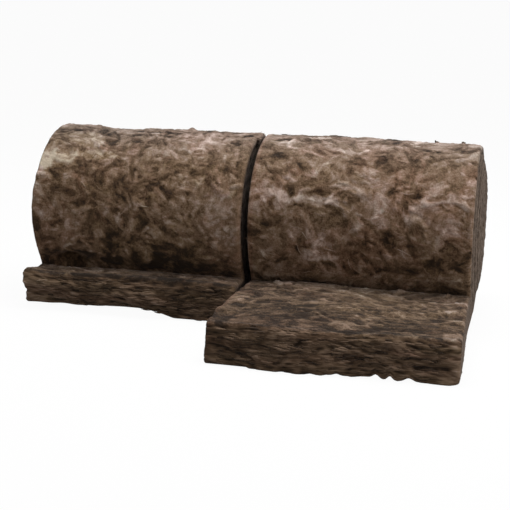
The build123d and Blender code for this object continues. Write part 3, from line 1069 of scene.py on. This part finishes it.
# Noises: scale, detail, roughness
SWIRL_NOISE = (38.0, 3.0, 0.6)
RAGGED_NOISE = (55.0, 4.0, 0.65)
GAP_NOISE = (60.0, 2.0, 0.5)
STREAK_NOISE = (1.0, 3.0, 0.6)
LINE_NOISE = (1.0, 4.0, 0.6)
FELT_NOISE, FELT_NOISE_TONE = (210.0, 3.0, 0.8), 0.75
END_NOISE, END_NOISE_TONE = (190.0, 3.0, 0.8), 0.55
TUFT_NOISE, TUFT_NOISE_TONE = (260.0, 3.0, 0.7), 0.5

# Fine lines of the blanket's layers: how many to a metre along each axis of what they follow
END_LINES, END_LINE_TONE = (520.0, 24.0, 24.0), 1.1
TORN_LINES, TORN_LINE_TONE = (24.0, 60.0, 420.0), 0.68

# Fibre streaks and flakes of the felted faces
STREAKS = {"Tuft size": 0.013, "Fibre width": 0.002, "Fibre length": 0.008, "Swirl": 0.006}
STREAK_TONE = 0.42
STREAK_TURN = 0.6  # how far tufts turn apart, in radians
STREAK_DEPTH = 60.0  # how far apart tufts lie in the noise
FLAKES = {"Width": 0.014, "Height": 0.009}
# A flake's own tone, and the painted shadow in some gaps between flakes
FLAKE_TONE, FLAKE_GAP_SHADOW = 0.05, -0.14
FLAKE_FADE = -1.1  # painted shade: how much darker a flake gets towards its lower edge
FLAKE_GAP = 0.13
FLAKE_GAP_STEEPNESS = 6.0

# Finish of all wool
WOOL_SPECULAR, WOOL_SHEEN = 0.12, 0.045
ROUGHNESS, ROUGHNESS_BY_TONE = 0.99, -0.14
WARM_TINT = (1.055, 0.965, 0.96, 1)
OLIVE_TINT = (0.985, 0.99, 0.88, 1)
DUST_AND_SHEEN_FADE = -0.27  # how much colour dust and painted sheen take away
SKIN_BUMP = {"Strength": 0.5, "Distance": 0.006}
TUFT_BUMP = {"Strength": 0.4, "Distance": 0.001}


class Nodes:
    """Adds and joins the nodes of one tree."""

    def __init__(self, tree):
        self.tree = tree

    def add(self, kind, values=None, **settings):
        """A new node with settings, and with values or links at its sockets."""
        node = self.tree.nodes.new(kind)
        for name, value in settings.items():
            setattr(node, name, value)
        for name, value in (values or {}).items():
            if isinstance(value, bpy.types.NodeSocket):
                self.tree.links.new(value, node.inputs[name])
            else:
                node.inputs[name].default_value = value
        return node

    def math(self, operation, *values, clamp=False):
        """Arithmetic on numbers."""
        values = dict(enumerate(values))
        return self.add("ShaderNodeMath", values, operation=operation, use_clamp=clamp).outputs[0]

    def vector(self, operation, *values):
        """Arithmetic on vectors. The factor of a scale comes second."""
        sockets = (0, "Scale") if operation == "SCALE" else (0, 1)
        return self.add("ShaderNodeVectorMath", dict(zip(sockets, values)), operation=operation).outputs[0]

    def split(self, vector):
        """The three parts of a vector."""
        return self.add("ShaderNodeSeparateXYZ", {"Vector": vector}).outputs

    def joined(self, *parts):
        """A vector from its parts."""
        return self.add("ShaderNodeCombineXYZ", dict(enumerate(parts))).outputs[0]

    def attribute(self, name, output="Fac"):
        """What a piece carries under a name."""
        return self.add("ShaderNodeAttribute", attribute_name=name).outputs[output]

    def noise(self, vector, scale, detail, roughness, output="Fac"):
        """Cloudy noise at a place."""
        values = {"Scale": scale, "Detail": detail, "Roughness": roughness, "Vector": vector}
        return self.add("ShaderNodeTexNoise", values).outputs[output]

    def cells(self, vector, scale, **settings):
        """Flat cells at a place."""
        values = {"Vector": vector, "Scale": scale}
        return self.add("ShaderNodeTexVoronoi", values, voronoi_dimensions="2D", **settings).outputs

    def ramp(self, value, colours):
        """Colours spread evenly from 0 to 1."""
        node = self.add("ShaderNodeValToRGB", {0: value})
        elements = node.color_ramp.elements
        while len(elements) < len(colours):
            elements.new(0.5)
        for n, colour in enumerate(colours):
            elements[n].position = n / (len(colours) - 1)
            elements[n].color = (*colour, 1)
        return node.outputs[0]

    def mix(self, share, first, second, kind="FLOAT", **settings):
        """A blend of two numbers or colours."""
        values = {"Factor": share, "A": first, "B": second}
        return self.add("ShaderNodeMix", values, data_type=kind, **settings).outputs["Result"]

    def group(self, tree, values):
        """What a group puts out."""
        return self.add("ShaderNodeGroup", values, node_tree=tree).outputs

    def centred(self, value, weight=1.0):
        """A value from 0 to 1, as a weight about 0."""
        return self.math("MULTIPLY", self.math("SUBTRACT", value, 0.5), weight)

    def lines(self, place, counts):
        """Fine lines, with so many to a metre along each axis of a place."""
        scaled = [self.math("MULTIPLY", part, count) for part, count in zip(self.split(place), counts)]
        return self.noise(self.joined(*scaled), *LINE_NOISE)

    def shaken(self, place, noise, reach):
        """A place moved about by noise."""
        shift = self.vector("SUBTRACT", self.noise(place, *noise, output="Color"), (0.5, 0.5, 0.5))
        return self.vector("ADD", place, self.vector("SCALE", shift, reach))

    def shown(self, lit, seen, share=1.0):
        """One shader for the light that falls on the object, and another for what the eye sees."""
        path = self.add("ShaderNodeLightPath").outputs
        mask = self.math("MAXIMUM", path["Is Camera Ray"], path["Is Glossy Ray"])
        mask = self.math("MAXIMUM", mask, path["Is Transmission Ray"])
        values = {"Fac": self.math("MULTIPLY", mask, share), 1: lit.outputs[0], 2: seen.outputs[0]}
        return self.add("ShaderNodeMixShader", values).outputs[0]


def blank_nodes(holder):
    """Empties the node tree of a material or world, for new nodes."""
    holder.use_nodes = True
    holder.node_tree.nodes.clear()
    return Nodes(holder.node_tree)


def node_group(name, kind, inputs, outputs):
    """A new node group: its nodes, and the sockets of its inputs.

    A socket is written as its type, or as the default of a number.
    """
    tree = bpy.data.node_groups.new(name, kind)
    for in_out, sockets in (("INPUT", inputs), ("OUTPUT", outputs)):
        for title, given in sockets.items():
            number = isinstance(given, float)
            socket_type = "NodeSocketFloat" if number else "NodeSocket" + given
            socket = tree.interface.new_socket(title, in_out=in_out, socket_type=socket_type)
            if number:
                socket.default_value = given
    nodes = Nodes(tree)
    return nodes, nodes.add("NodeGroupInput").outputs


def fibre_streaks_group():
    """Short fibres side by side in small tufts, which lie along a given angle."""
    nodes, inside = node_group(
        "fibre_streaks", "ShaderNodeTree", {"Place": "Vector", "Lie": 0.0, **STREAKS}, {"Streak": "Float"})
    swirled = nodes.shaken(inside["Place"], SWIRL_NOISE, inside["Swirl"])
    cells = nodes.cells(swirled, nodes.math("DIVIDE", 1.0, inside["Tuft size"]))
    offset = nodes.vector("SUBTRACT", swirled, cells["Position"])
    picks = nodes.add("ShaderNodeSeparateColor", {"Color": cells["Color"]}).outputs
    turned = nodes.math("ADD", nodes.centred(picks[0], STREAK_TURN), inside["Lie"])
    values = {"Vector": offset, "Angle": nodes.math("MULTIPLY", turned, -1.0)}
    parts = nodes.split(nodes.add("ShaderNodeVectorRotate", values, rotation_type="Z_AXIS").outputs[0])
    stretched = nodes.joined(
        nodes.math("DIVIDE", parts[0], inside["Fibre length"]),
        nodes.math("DIVIDE", parts[1], inside["Fibre width"]),
        nodes.math("MULTIPLY", picks[1], STREAK_DEPTH))
    nodes.add("NodeGroupOutput", {"Streak": nodes.noise(stretched, *STREAK_NOISE)})
    return nodes.tree


def wool_flakes_group():
    """Torn flakes that overlap like shingles, each in its own shade, with painted shade at their lower edges
    and in some gaps.
    """
    nodes, inside = node_group(
        "wool_flakes", "ShaderNodeTree", {"Place": "Vector", **FLAKES, "Raggedness": 0.02},
        {"Shade": "Float", "Gap": "Float"})
    parts = nodes.split(nodes.shaken(inside["Place"], RAGGED_NOISE, inside["Raggedness"]))
    scaled = nodes.joined(
        nodes.math("DIVIDE", parts[0], inside["Width"]), nodes.math("DIVIDE", parts[1], inside["Height"]))
    cells = nodes.cells(scaled, 1.0)
    across = nodes.split(nodes.vector("SUBTRACT", scaled, cells["Position"]))
    picks = nodes.add("ShaderNodeSeparateColor", {"Color": cells["Color"]}).outputs
    # Painted shade, darker towards each flake's lower edge
    fade = nodes.math("MULTIPLY", across[1], nodes.math("MULTIPLY", picks[1], FLAKE_FADE))
    lean = nodes.math("MULTIPLY", across[0], nodes.centred(picks[2]))
    shade = nodes.math("ADD", nodes.centred(picks[0], 2.0), nodes.math("ADD", fade, lean))
    # Painted shadow in some of the gaps between flakes
    edge = nodes.cells(scaled, 1.0, feature="DISTANCE_TO_EDGE")["Distance"]
    near = nodes.math("SUBTRACT", 1.0, nodes.math("DIVIDE", edge, FLAKE_GAP), clamp=True)
    chance = nodes.math("SUBTRACT", nodes.noise(inside["Place"], *GAP_NOISE), 0.5)
    some = nodes.math("MULTIPLY", chance, FLAKE_GAP_STEEPNESS, clamp=True)
    nodes.add("NodeGroupOutput", {"Shade": shade, "Gap": nodes.math("MULTIPLY", near, some)})
    return nodes.tree


def wool_colour_group(colours):
    """Colour of the wool from its tone, pinker where it is warm and more olive where it is not."""
    nodes, inside = node_group(
        "wool_colour", "ShaderNodeTree", {"Tone": "Float", "Warmth": "Float", "Dust and sheen": "Float"},
        {"Colour": "Color"})
    plain = nodes.ramp(
        inside["Tone"], (colours.crevice, colours.umber, colours.brown, colours.taupe, colours.cream))
    tint = {"kind": "RGBA", "blend_type": "MULTIPLY"}
    warm = nodes.mix(nodes.math("MAXIMUM", inside["Warmth"], 0.0), plain, WARM_TINT, **tint)
    olive_share = nodes.math("MAXIMUM", nodes.math("MULTIPLY", inside["Warmth"], -1.0), 0.0)
    olive = nodes.mix(olive_share, warm, OLIVE_TINT, **tint)
    # Dust and painted sheen take colour away
    saturation = nodes.math("MULTIPLY_ADD", inside["Dust and sheen"], DUST_AND_SHEEN_FADE, 1.0)
    dulled = nodes.add("ShaderNodeHueSaturation", {"Color": olive, "Saturation": saturation})
    nodes.add("NodeGroupOutput", {"Colour": dulled.outputs[0]})
    return nodes.tree


def felt_detail(nodes, place):
    """Fibres and flakes of the matted faces, painted shadow in some gaps between them, and fine lines where
    they are torn.
    """
    blanket = nodes.attribute("blanket", "Vector")
    streaks = bpy.data.node_groups["fibre_streaks"]
    flakes = bpy.data.node_groups["wool_flakes"]
    streak = nodes.group(streaks, {"Place": blanket, "Lie": nodes.attribute("lie"), **STREAKS})["Streak"]
    flake = nodes.group(flakes, {"Place": blanket, **FLAKES})
    grain = nodes.centred(nodes.noise(place, *FELT_NOISE), FELT_NOISE_TONE)
    fibres = nodes.math("ADD", nodes.centred(streak, STREAK_TONE), grain)
    shade = nodes.math("MULTIPLY", flake["Shade"], FLAKE_TONE)
    # Painted shadow in the gaps
    gaps = nodes.math("MULTIPLY", flake["Gap"], FLAKE_GAP_SHADOW)
    felt = nodes.math("ADD", fibres, nodes.math("ADD", shade, gaps))
    torn = nodes.centred(nodes.lines(place, TORN_LINES), TORN_LINE_TONE)
    return nodes.mix(nodes.attribute("cut"), felt, torn)


def end_detail(nodes, place):
    """Fine lines of the wound and layered blanket on a cut end."""
    lines = nodes.lines(nodes.attribute("end_place", "Vector"), END_LINES)
    grain = nodes.centred(nodes.noise(place, *END_NOISE), END_NOISE_TONE)
    return nodes.math("ADD", nodes.centred(lines, END_LINE_TONE), grain)


def tuft_detail(nodes, place):
    """Fine grain of loose wool."""
    return nodes.centred(nodes.noise(place, *TUFT_NOISE), TUFT_NOISE_TONE)


def wool_material(name, detail_of, bump):
    """Glass wool with the tone, warmth, and dust and painted sheen that a piece carries, and fine detail of
    its own.
    """
    material = bpy.data.materials.new(name)
    nodes = blank_nodes(material)
    place = nodes.add("ShaderNodeTexCoord").outputs["Object"]
    detail = detail_of(nodes, place)
    tone = nodes.math("ADD", nodes.attribute("tone"), detail, clamp=True)
    colour = nodes.group(bpy.data.node_groups["wool_colour"], {
        "Tone": tone, "Warmth": nodes.attribute("warmth"), "Dust and sheen": nodes.attribute("dust"),
    })
    shader = nodes.add("ShaderNodeBsdfPrincipled", {
        "Base Color": colour[0],
        "Roughness": nodes.math("MULTIPLY_ADD", tone, ROUGHNESS_BY_TONE, ROUGHNESS),
        "Normal": nodes.add("ShaderNodeBump", {**bump, "Height": detail}).outputs[0],
        "Specular IOR Level": WOOL_SPECULAR, "Sheen Weight": WOOL_SHEEN,
    })
    nodes.add("ShaderNodeOutputMaterial", {"Surface": shader.outputs[0]})
    return material


# Loose tufts

# Loose ends that stand off a half: side, base, way, spread, count, length, width, tone
STRAYS = (
    (LEFT, (-0.210, 0.222, 0.450), (0.1, -0.2, 1.0), 0.7, 9, 0.015, 0.0040, 0.80),
    (LEFT, (-0.012, 0.205, 0.450), (0.9, -0.3, 0.5), 0.6, 10, 0.016, 0.0045, 0.72),
    (LEFT, (-0.011, 0.150, 0.446), (0.9, -0.5, 0.2), 0.5, 12, 0.018, 0.0045, 0.66),
    (LEFT, (-0.572, -0.010, 0.285), (-1.0, -0.3, 0.1), 0.5, 3, 0.012, 0.0012, 0.45),
    (LEFT, (-0.572, -0.015, 0.230), (-1.0, -0.2, 0.0), 0.5, 3, 0.014, 0.0012, 0.40),
    (LEFT, (-0.575, -0.060, 0.085), (-1.0, -0.2, 0.2), 0.5, 3, 0.012, 0.0014, 0.30),
    (RIGHT, (0.458, 0.224, 0.449), (0.0, -0.2, 1.0), 0.7, 6, 0.010, 0.0040, 0.25),
    (RIGHT, (0.527, 0.224, 0.449), (0.0, -0.2, 1.0), 0.7, 7, 0.011, 0.0045, 0.22),
    (RIGHT, (0.004, -0.385, 0.092), (-1.0, -0.3, 0.3), 0.5, 8, 0.012, 0.0040, 0.32),
    (RIGHT, (0.012, 0.004, 0.345), (-1.0, -0.3, 0.1), 0.2, 4, 0.015, 0.0010, 0.60),
    (RIGHT, (0.010, -0.028, 0.215), (-1.0, -0.2, 0.1), 0.2, 4, 0.014, 0.0010, 0.45),
    (RIGHT, (0.583, -0.330, 0.050), (1.0, -0.3, 0.1), 0.5, 4, 0.012, 0.0012, 0.45),
)
STRAY_LENGTH_SHARES = (0.6, 1.1)
STRAY_OUT_SHARE = 0.35  # how much of its length lies between its base and its middle
STRAY_BEND = 0.15
STRAY_TONES = (-0.1, 0.1)

# Form of one tuft
TUFT_RINGS, TUFT_SIDES = 6, 4
TUFT_FULLNESS = 0.7
TUFT_BEND_MIDDLE = 0.6
TUFT_ARCH, TUFT_SINK = 1.4, 0.6  # how far its middle rises and its ends sink, in thicknesses

# Kinds of tufts that are laid on a skin: on its torn part or not, length, width and thickness, bends,
# and how they lie
LAID_KINDS = {
    "tufts": (0.0, (0.04, 0.0016, 0.0007), (0.05, 0.15, -0.2, 0.3), {
        "Density": 260.0, "Spread": 0.7, "Smallest": 0.3, "Largest": 1.25, "Darker": 0.05, "Paler": 0.3,
        "Tilt": 0.04}),
    "flakes": (1.0, (0.034, 0.005, 0.0016), (0.0, 0.06, -0.08), {
        "Density": 9000.0, "Spread": 0.17, "Smallest": 0.25, "Largest": 1.2, "Darker": 0.11, "Paler": 0.08,
        "Tilt": 0.15}),
}
LAID_LEAST_HEIGHT = 0.012
LAID_END_GAP = 0.026


def tuft_points(long, width, thickness, bend):
    """Points and faces of one flat curved tuft, thickest in its middle and pointed at both ends."""
    points, faces = [(-long / 2, 0.0, -thickness)], []
    for n in range(1, TUFT_RINGS):
        share = n / TUFT_RINGS
        full = math.sin(math.pi * share) ** TUFT_FULLNESS
        x = (share - 0.5) * long
        y = bend * long * (4 * share * (1 - share) - TUFT_BEND_MIDDLE)
        z = thickness * (TUFT_ARCH * full - TUFT_SINK)
        points += [
            (x, y - full * width / 2, z), (x, y, z + full * thickness / 2),
            (x, y + full * width / 2, z), (x, y, z - full * thickness / 2),
        ]
    points.append((long / 2, 0.0, -thickness))
    tip = len(points) - 1
    for n in range(TUFT_SIDES):
        after = (n + 1) % TUFT_SIDES
        faces.append((0, 1 + after, 1 + n))
        faces.append((tip, tip - TUFT_SIDES + n, tip - TUFT_SIDES + after))
        for ring in range(TUFT_RINGS - 2):
            low = 1 + TUFT_SIDES * ring
            high = low + TUFT_SIDES
            faces.append((low + n, low + after, high + after, high + n))
    return points, faces


def tuft_shape(name, size, bend):
    """One tuft as an object that is laid many times."""
    mesh = smooth_mesh(name, *tuft_points(*size, bend))
    face_outward(mesh)
    return bpy.data.objects.new(name, mesh)


def stray_tufts(name, side, material, seed):
    """The loose ends of one half, each set at its place, joined into one piece."""
    random = np.random.default_rng(seed)
    points, faces, tones = [], [], []
    for half, base, way, spread, count, length, width, tone in STRAYS:
        if half != side:
            continue
        for _ in range(count):
            aim = Vector(way).normalized() + Vector(random.normal(0, spread / 2, 3))
            facing = aim.to_track_quat("X", "Z").to_matrix()
            long = length * random.uniform(*STRAY_LENGTH_SHARES)
            middle = Vector(base) + STRAY_OUT_SHARE * long * aim.normalized()
            middle = middle + Vector(random.normal(0, width / 2, 3))
            tuft, tuft_faces = tuft_points(long, width, width / 3, random.normal(0, STRAY_BEND))
            faces += [[len(points) + corner for corner in face] for face in tuft_faces]
            tones += [tone + random.uniform(*STRAY_TONES)] * len(tuft)
            points += [middle + facing @ Vector(point) for point in tuft]
    mesh = smooth_mesh(name, points, faces)
    mesh.materials.append(material)
    store(mesh, "tone", np.array(tones))
    store(mesh, "warmth", np.zeros(len(points)))
    face_outward(mesh)
    return in_scene(name, mesh)


def laid_tufts_group(shapes):
    """Lays tufts on a patch of skin along its fibres, each with the skin's tone or a little off it."""
    numbers = LAID_KINDS["tufts"][-1]
    nodes, inside = node_group(
        "laid_tufts", "GeometryNodeTree",
        {"Skin": "Geometry", **numbers, "Seed": "Int", "Material": "Material"}, {"Tufts": "Geometry"})

    def chance(low, high, shift):
        values = {2: low, 3: high, "Seed": nodes.math("ADD", inside["Seed"], shift)}
        return nodes.add("FunctionNodeRandomValue", values, data_type="FLOAT").outputs[1]

    def named(name):
        values = {"Name": name}
        return nodes.add("GeometryNodeInputNamedAttribute", values, data_type="FLOAT").outputs["Attribute"]

    def stored(geometry, name, value):
        values = {"Name": name, "Geometry": geometry, "Value": value}
        settings = {"data_type": "FLOAT", "domain": "INSTANCE"}
        return nodes.add("GeometryNodeStoreNamedAttribute", values, **settings).outputs["Geometry"]

    scatter = nodes.add("GeometryNodeDistributePointsOnFaces", {
        "Mesh": inside["Skin"], "Density": inside["Density"], "Seed": inside["Seed"],
    }).outputs
    normal = scatter["Normal"]
    spread = nodes.math("MULTIPLY", inside["Spread"], -1.0)
    angle = nodes.math("ADD", named("lie"), chance(spread, inside["Spread"], 1))
    width_way = (1.0, 0.0, 0.0)
    along = nodes.vector("SCALE", width_way, nodes.math("COSINE", angle))
    across = nodes.vector("CROSS_PRODUCT", width_way, normal)
    around = nodes.vector("SCALE", across, nodes.math("SINE", angle))
    tilt = nodes.vector("SCALE", normal, chance(0.0, inside["Tilt"], 2))
    way = nodes.vector("ADD", nodes.vector("ADD", along, around), tilt)
    rotation = nodes.add(
        "FunctionNodeAxesToRotation", {0: way, 1: normal}, primary_axis="X", secondary_axis="Z")
    join = nodes.add("GeometryNodeJoinGeometry")
    for shape in shapes:
        info = nodes.add("GeometryNodeObjectInfo", {"Object": shape, "As Instance": True})
        nodes.tree.links.new(info.outputs["Geometry"], join.inputs[0])
    placed = nodes.add("GeometryNodeInstanceOnPoints", {
        "Points": scatter["Points"], "Pick Instance": True, "Instance": join.outputs[0],
        "Rotation": rotation.outputs[0], "Scale": chance(inside["Smallest"], inside["Largest"], 3),
    })
    darker = nodes.math("MULTIPLY", inside["Darker"], -1.0)
    tone = nodes.math("ADD", named("tone"), chance(darker, inside["Paler"], 4))
    tufts = stored(placed.outputs["Instances"], "tone", tone)
    for name in ("warmth", "dust"):
        tufts = stored(tufts, name, named(name))
    real = nodes.add("GeometryNodeRealizeInstances", {"Geometry": tufts}).outputs[0]
    dressed = nodes.add("GeometryNodeSetMaterial", {"Geometry": real, "Material": inside["Material"]})
    nodes.add("NodeGroupOutput", {"Tufts": dressed.outputs[0]})
    return nodes.tree


def skin_patch(skin, name, torn, node):
    """A copy of the part of a skin that is torn or not, away from its ends and the floor."""
    mesh = skin.data.copy()
    mesh.name = name

    def read(data, field, width=1):
        numbers = np.zeros(len(mesh.vertices) * width, np.float32)
        data.foreach_get(field, numbers)
        return numbers

    felt, cut = [read(mesh.attributes[title].data, "value") for title in ("felt", "cut")]
    x, _, z = read(mesh.vertices, "co", 3).reshape(-1, 3).T
    low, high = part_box(node)
    wanted = (felt > 0.5) & (np.abs(cut - torn) < 0.5) & (z > LAID_LEAST_HEIGHT)
    wanted &= (x > low.x + LAID_END_GAP) & (x < high.x - LAID_END_GAP)
    shell = bmesh.new()
    shell.from_mesh(mesh)
    shell.verts.ensure_lookup_table()
    bmesh.ops.delete(shell, geom=[v for v in shell.verts if not wanted[v.index]], context="VERTS")
    shell.to_mesh(mesh)
    shell.free()
    return in_scene(name, mesh)


def scattered(name, patch, tree, inputs):
    """The tufts that a node group lays on a patch, as a plain mesh object."""
    modifier = patch.modifiers.new("laid", "NODES")
    modifier.node_group = tree
    sockets = {item.name: item.identifier for item in tree.interface.items_tree if item.in_out == "INPUT"}
    for title, value in inputs.items():
        modifier[sockets[title]] = value
    ready = patch.evaluated_get(bpy.context.evaluated_depsgraph_get())
    mesh = bpy.data.meshes.new_from_object(ready)
    mesh.name = name
    bpy.data.objects.remove(patch)
    return in_scene(name, mesh)


# Stage

PICTURE_WIDTH, FOCAL_LENGTH = 510, 1311.5  # in pixels


class RollStage(bpy.types.PropertyGroup):
    """Where the camera stands and how it looks"""

    camera_place: bpy.props.FloatVectorProperty(
        name="Camera", description="Where the camera stands", default=(0.7601, -3.2271, 0.9201),
        subtype="TRANSLATION", unit="LENGTH")
    camera_yaw: an_angle("Yaw", "How far the camera looks to the right of +Y", -12.869)
    camera_pitch: an_angle("Pitch", "How far the camera looks down", 12.813)
    camera_roll: an_angle("Roll", "How far the picture is turned", -0.995)
    focal_share: bpy.props.FloatProperty(
        name="Focal share", description="Focal length as a share of the picture's width",
        default=FOCAL_LENGTH / PICTURE_WIDTH)


SENSOR_WIDTH = 36.0  # in millimetres
VIEW_DEPTH = 100.0
FLOOR_HALF_SIDE = 30.0
FLOOR_GREY = (0.4, 0.4, 0.4, 1)
FLOOR_WHITE_STRENGTH = 1.06
FLOOR_WHITE_SHARE = 0.9  # the rest shows the object's shadow
WHITE = (1, 1, 1, 1)
WORLD_STRENGTH = 0.29

# Soft square lamps: name, place, what they point at, side, power
LAMPS = (
    ("overhead", (0.3, 0.35, 2.6), (0.0, 0.1, 0.2), 1.8, 75.0),
    ("side", (3.2, -0.9, 0.9), (0.4, 0.1, 0.25), 1.2, 30.0),
)


def camera_matrix(stage):
    """Place and turn of the camera."""
    yaw, pitch, roll = stage.camera_yaw, stage.camera_pitch, stage.camera_roll
    ahead = Vector((math.sin(yaw) * math.cos(pitch), math.cos(yaw) * math.cos(pitch), -math.sin(pitch)))
    right = Vector((math.cos(yaw), -math.sin(yaw), 0))
    down = ahead.cross(right)
    level_x = math.cos(roll) * right + math.sin(roll) * down
    level_y = -math.sin(roll) * right + math.cos(roll) * down
    facing = Matrix((level_x, -level_y, -ahead)).transposed()
    return Matrix.Translation(Vector(stage.camera_place)) @ facing.to_4x4()


def floor_material():
    """Pale floor: white to the eye with a soft shadow, and plain grey to the light that bounces off it."""
    material = bpy.data.materials.new("pale_floor")
    nodes = blank_nodes(material)
    matt = nodes.add("ShaderNodeBsdfDiffuse", {"Color": FLOOR_GREY})
    white = nodes.add("ShaderNodeEmission", {"Color": WHITE, "Strength": FLOOR_WHITE_STRENGTH})
    nodes.add("ShaderNodeOutputMaterial", {"Surface": nodes.shown(matt, white, FLOOR_WHITE_SHARE)})
    return material


def studio_world():
    """White behind the object, and soft even light from all round."""
    world = bpy.data.worlds.new("studio")
    nodes = blank_nodes(world)
    light = nodes.add("ShaderNodeBackground", {"Color": WHITE, "Strength": WORLD_STRENGTH})
    white = nodes.add("ShaderNodeBackground", {"Color": WHITE, "Strength": 1.0})
    nodes.add("ShaderNodeOutputWorld", {"Surface": nodes.shown(light, white)})
    return world


def area_light(name, place, aim, size, power):
    """A soft square lamp that points at a place."""
    lamp = bpy.data.lights.new(name, "AREA")
    lamp.shape, lamp.size, lamp.energy = "SQUARE", size, power
    holder = in_scene(name, lamp)
    holder.location = place
    holder.rotation_euler = (Vector(aim) - Vector(place)).to_track_quat("-Z", "Y").to_euler()


# Operators

class INSULATION_OT_half_rolls(bpy.types.Operator):
    """Build the matted skins of the two half rolls"""
    bl_idname = "insulation.half_rolls"
    bl_label = "Half rolls"

    def execute(self, context):
        scene = context.scene
        fibre_streaks_group()
        wool_flakes_group()
        wool_colour_group(scene.wool_colours)
        felt = wool_material("matted_wool", felt_detail, SKIN_BUMP)
        ends = wool_material("cut_wool", end_detail, SKIN_BUMP)
        for side, node in enumerate(HALF_NODES):
            piece = HalfSkin(side, scene.wool_shape).build(node + "_wool", (felt, ends))
            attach(piece, BODY)
            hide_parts(node)
        return {"FINISHED"}


class INSULATION_OT_loose_tufts(bpy.types.Operator):
    """Lay loose tufts on the faces of the half rolls and along their torn fronts"""
    bl_idname = "insulation.loose_tufts"
    bl_label = "Loose tufts"

    def execute(self, context):
        material = wool_material("loose_wool", tuft_detail, TUFT_BUMP)
        shapes, trees = [], {}
        for kind, (_, size, bends, _) in LAID_KINDS.items():
            own = [tuft_shape(f"{kind}_{n}", size, bend) for n, bend in enumerate(bends)]
            trees[kind] = laid_tufts_group(own)
            shapes += own
        for side, node in enumerate(HALF_NODES):
            skin, seed = bpy.data.objects[node + "_wool"], TUFT_SEEDS[side]
            pieces = []
            for kind, (torn, _, _, numbers) in LAID_KINDS.items():
                patch = skin_patch(skin, f"{node}_{kind}_patch", torn, node)
                inputs = {**numbers, "Seed": seed, "Material": material}
                pieces.append(scattered(f"{node}_{kind}", patch, trees[kind], inputs))
            pieces.append(stray_tufts(f"{node}_strays", side, material, seed))
            for piece in pieces:
                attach(piece, BODY)
        for shape in shapes:
            bpy.data.objects.remove(shape)
        return {"FINISHED"}


class INSULATION_OT_stage(bpy.types.Operator):
    """Set up the floor, the light and the camera"""
    bl_idname = "insulation.stage"
    bl_label = "Stage"

    def execute(self, context):
        scene, stage = context.scene, context.scene.roll_stage
        mesh = bpy.data.meshes.new("floor")
        low, high = -FLOOR_HALF_SIDE, FLOOR_HALF_SIDE
        corners = [(low, low, 0), (high, low, 0), (high, high, 0), (low, high, 0)]
        mesh.from_pydata(corners, [], [(0, 1, 2, 3)])
        mesh.materials.append(floor_material())
        in_scene("floor", mesh)
        scene.world = studio_world()
        for lamp in LAMPS:
            area_light(*lamp)
        camera = bpy.data.cameras.new("camera")
        camera.sensor_width = SENSOR_WIDTH
        camera.lens = stage.focal_share * camera.sensor_width
        camera.clip_end = VIEW_DEPTH
        scene.camera = in_scene("camera", camera)
        scene.camera.matrix_world = camera_matrix(stage)
        scene.view_settings.view_transform = "Standard"
        return {"FINISHED"}


class INSULATION_PT_roll(bpy.types.Panel):
    """Lists the pieces of the insulation roll"""
    bl_label = "Insulation roll"
    bl_idname = "INSULATION_PT_roll"
    bl_space_type = "VIEW_3D"
    bl_region_type = "UI"
    bl_category = "Insulation"

    def draw(self, context):
        for operator in OPERATORS:
            self.layout.operator(operator.bl_idname)


OPERATORS = (INSULATION_OT_half_rolls, INSULATION_OT_loose_tufts, INSULATION_OT_stage)
GROUPS = {"wool_shape": WoolShape, "wool_colours": WoolColours, "roll_stage": RollStage}
CLASSES = (*GROUPS.values(), *OPERATORS, INSULATION_PT_roll)


def register():
    """Makes the classes known to Blender."""
    for part in CLASSES:
        bpy.utils.register_class(part)
    for name, group in GROUPS.items():
        setattr(bpy.types.Scene, name, bpy.props.PointerProperty(type=group))


def unregister():
    """Takes the classes out again."""
    for name in GROUPS:
        delattr(bpy.types.Scene, name)
    for part in reversed(CLASSES):
        bpy.utils.unregister_class(part)


def main():
    """Builds the pieces and the stage."""
    register()
    bpy.ops.insulation.half_rolls()
    bpy.ops.insulation.loose_tufts()
    bpy.ops.insulation.stage()


if __name__ == "__main__":
    main()
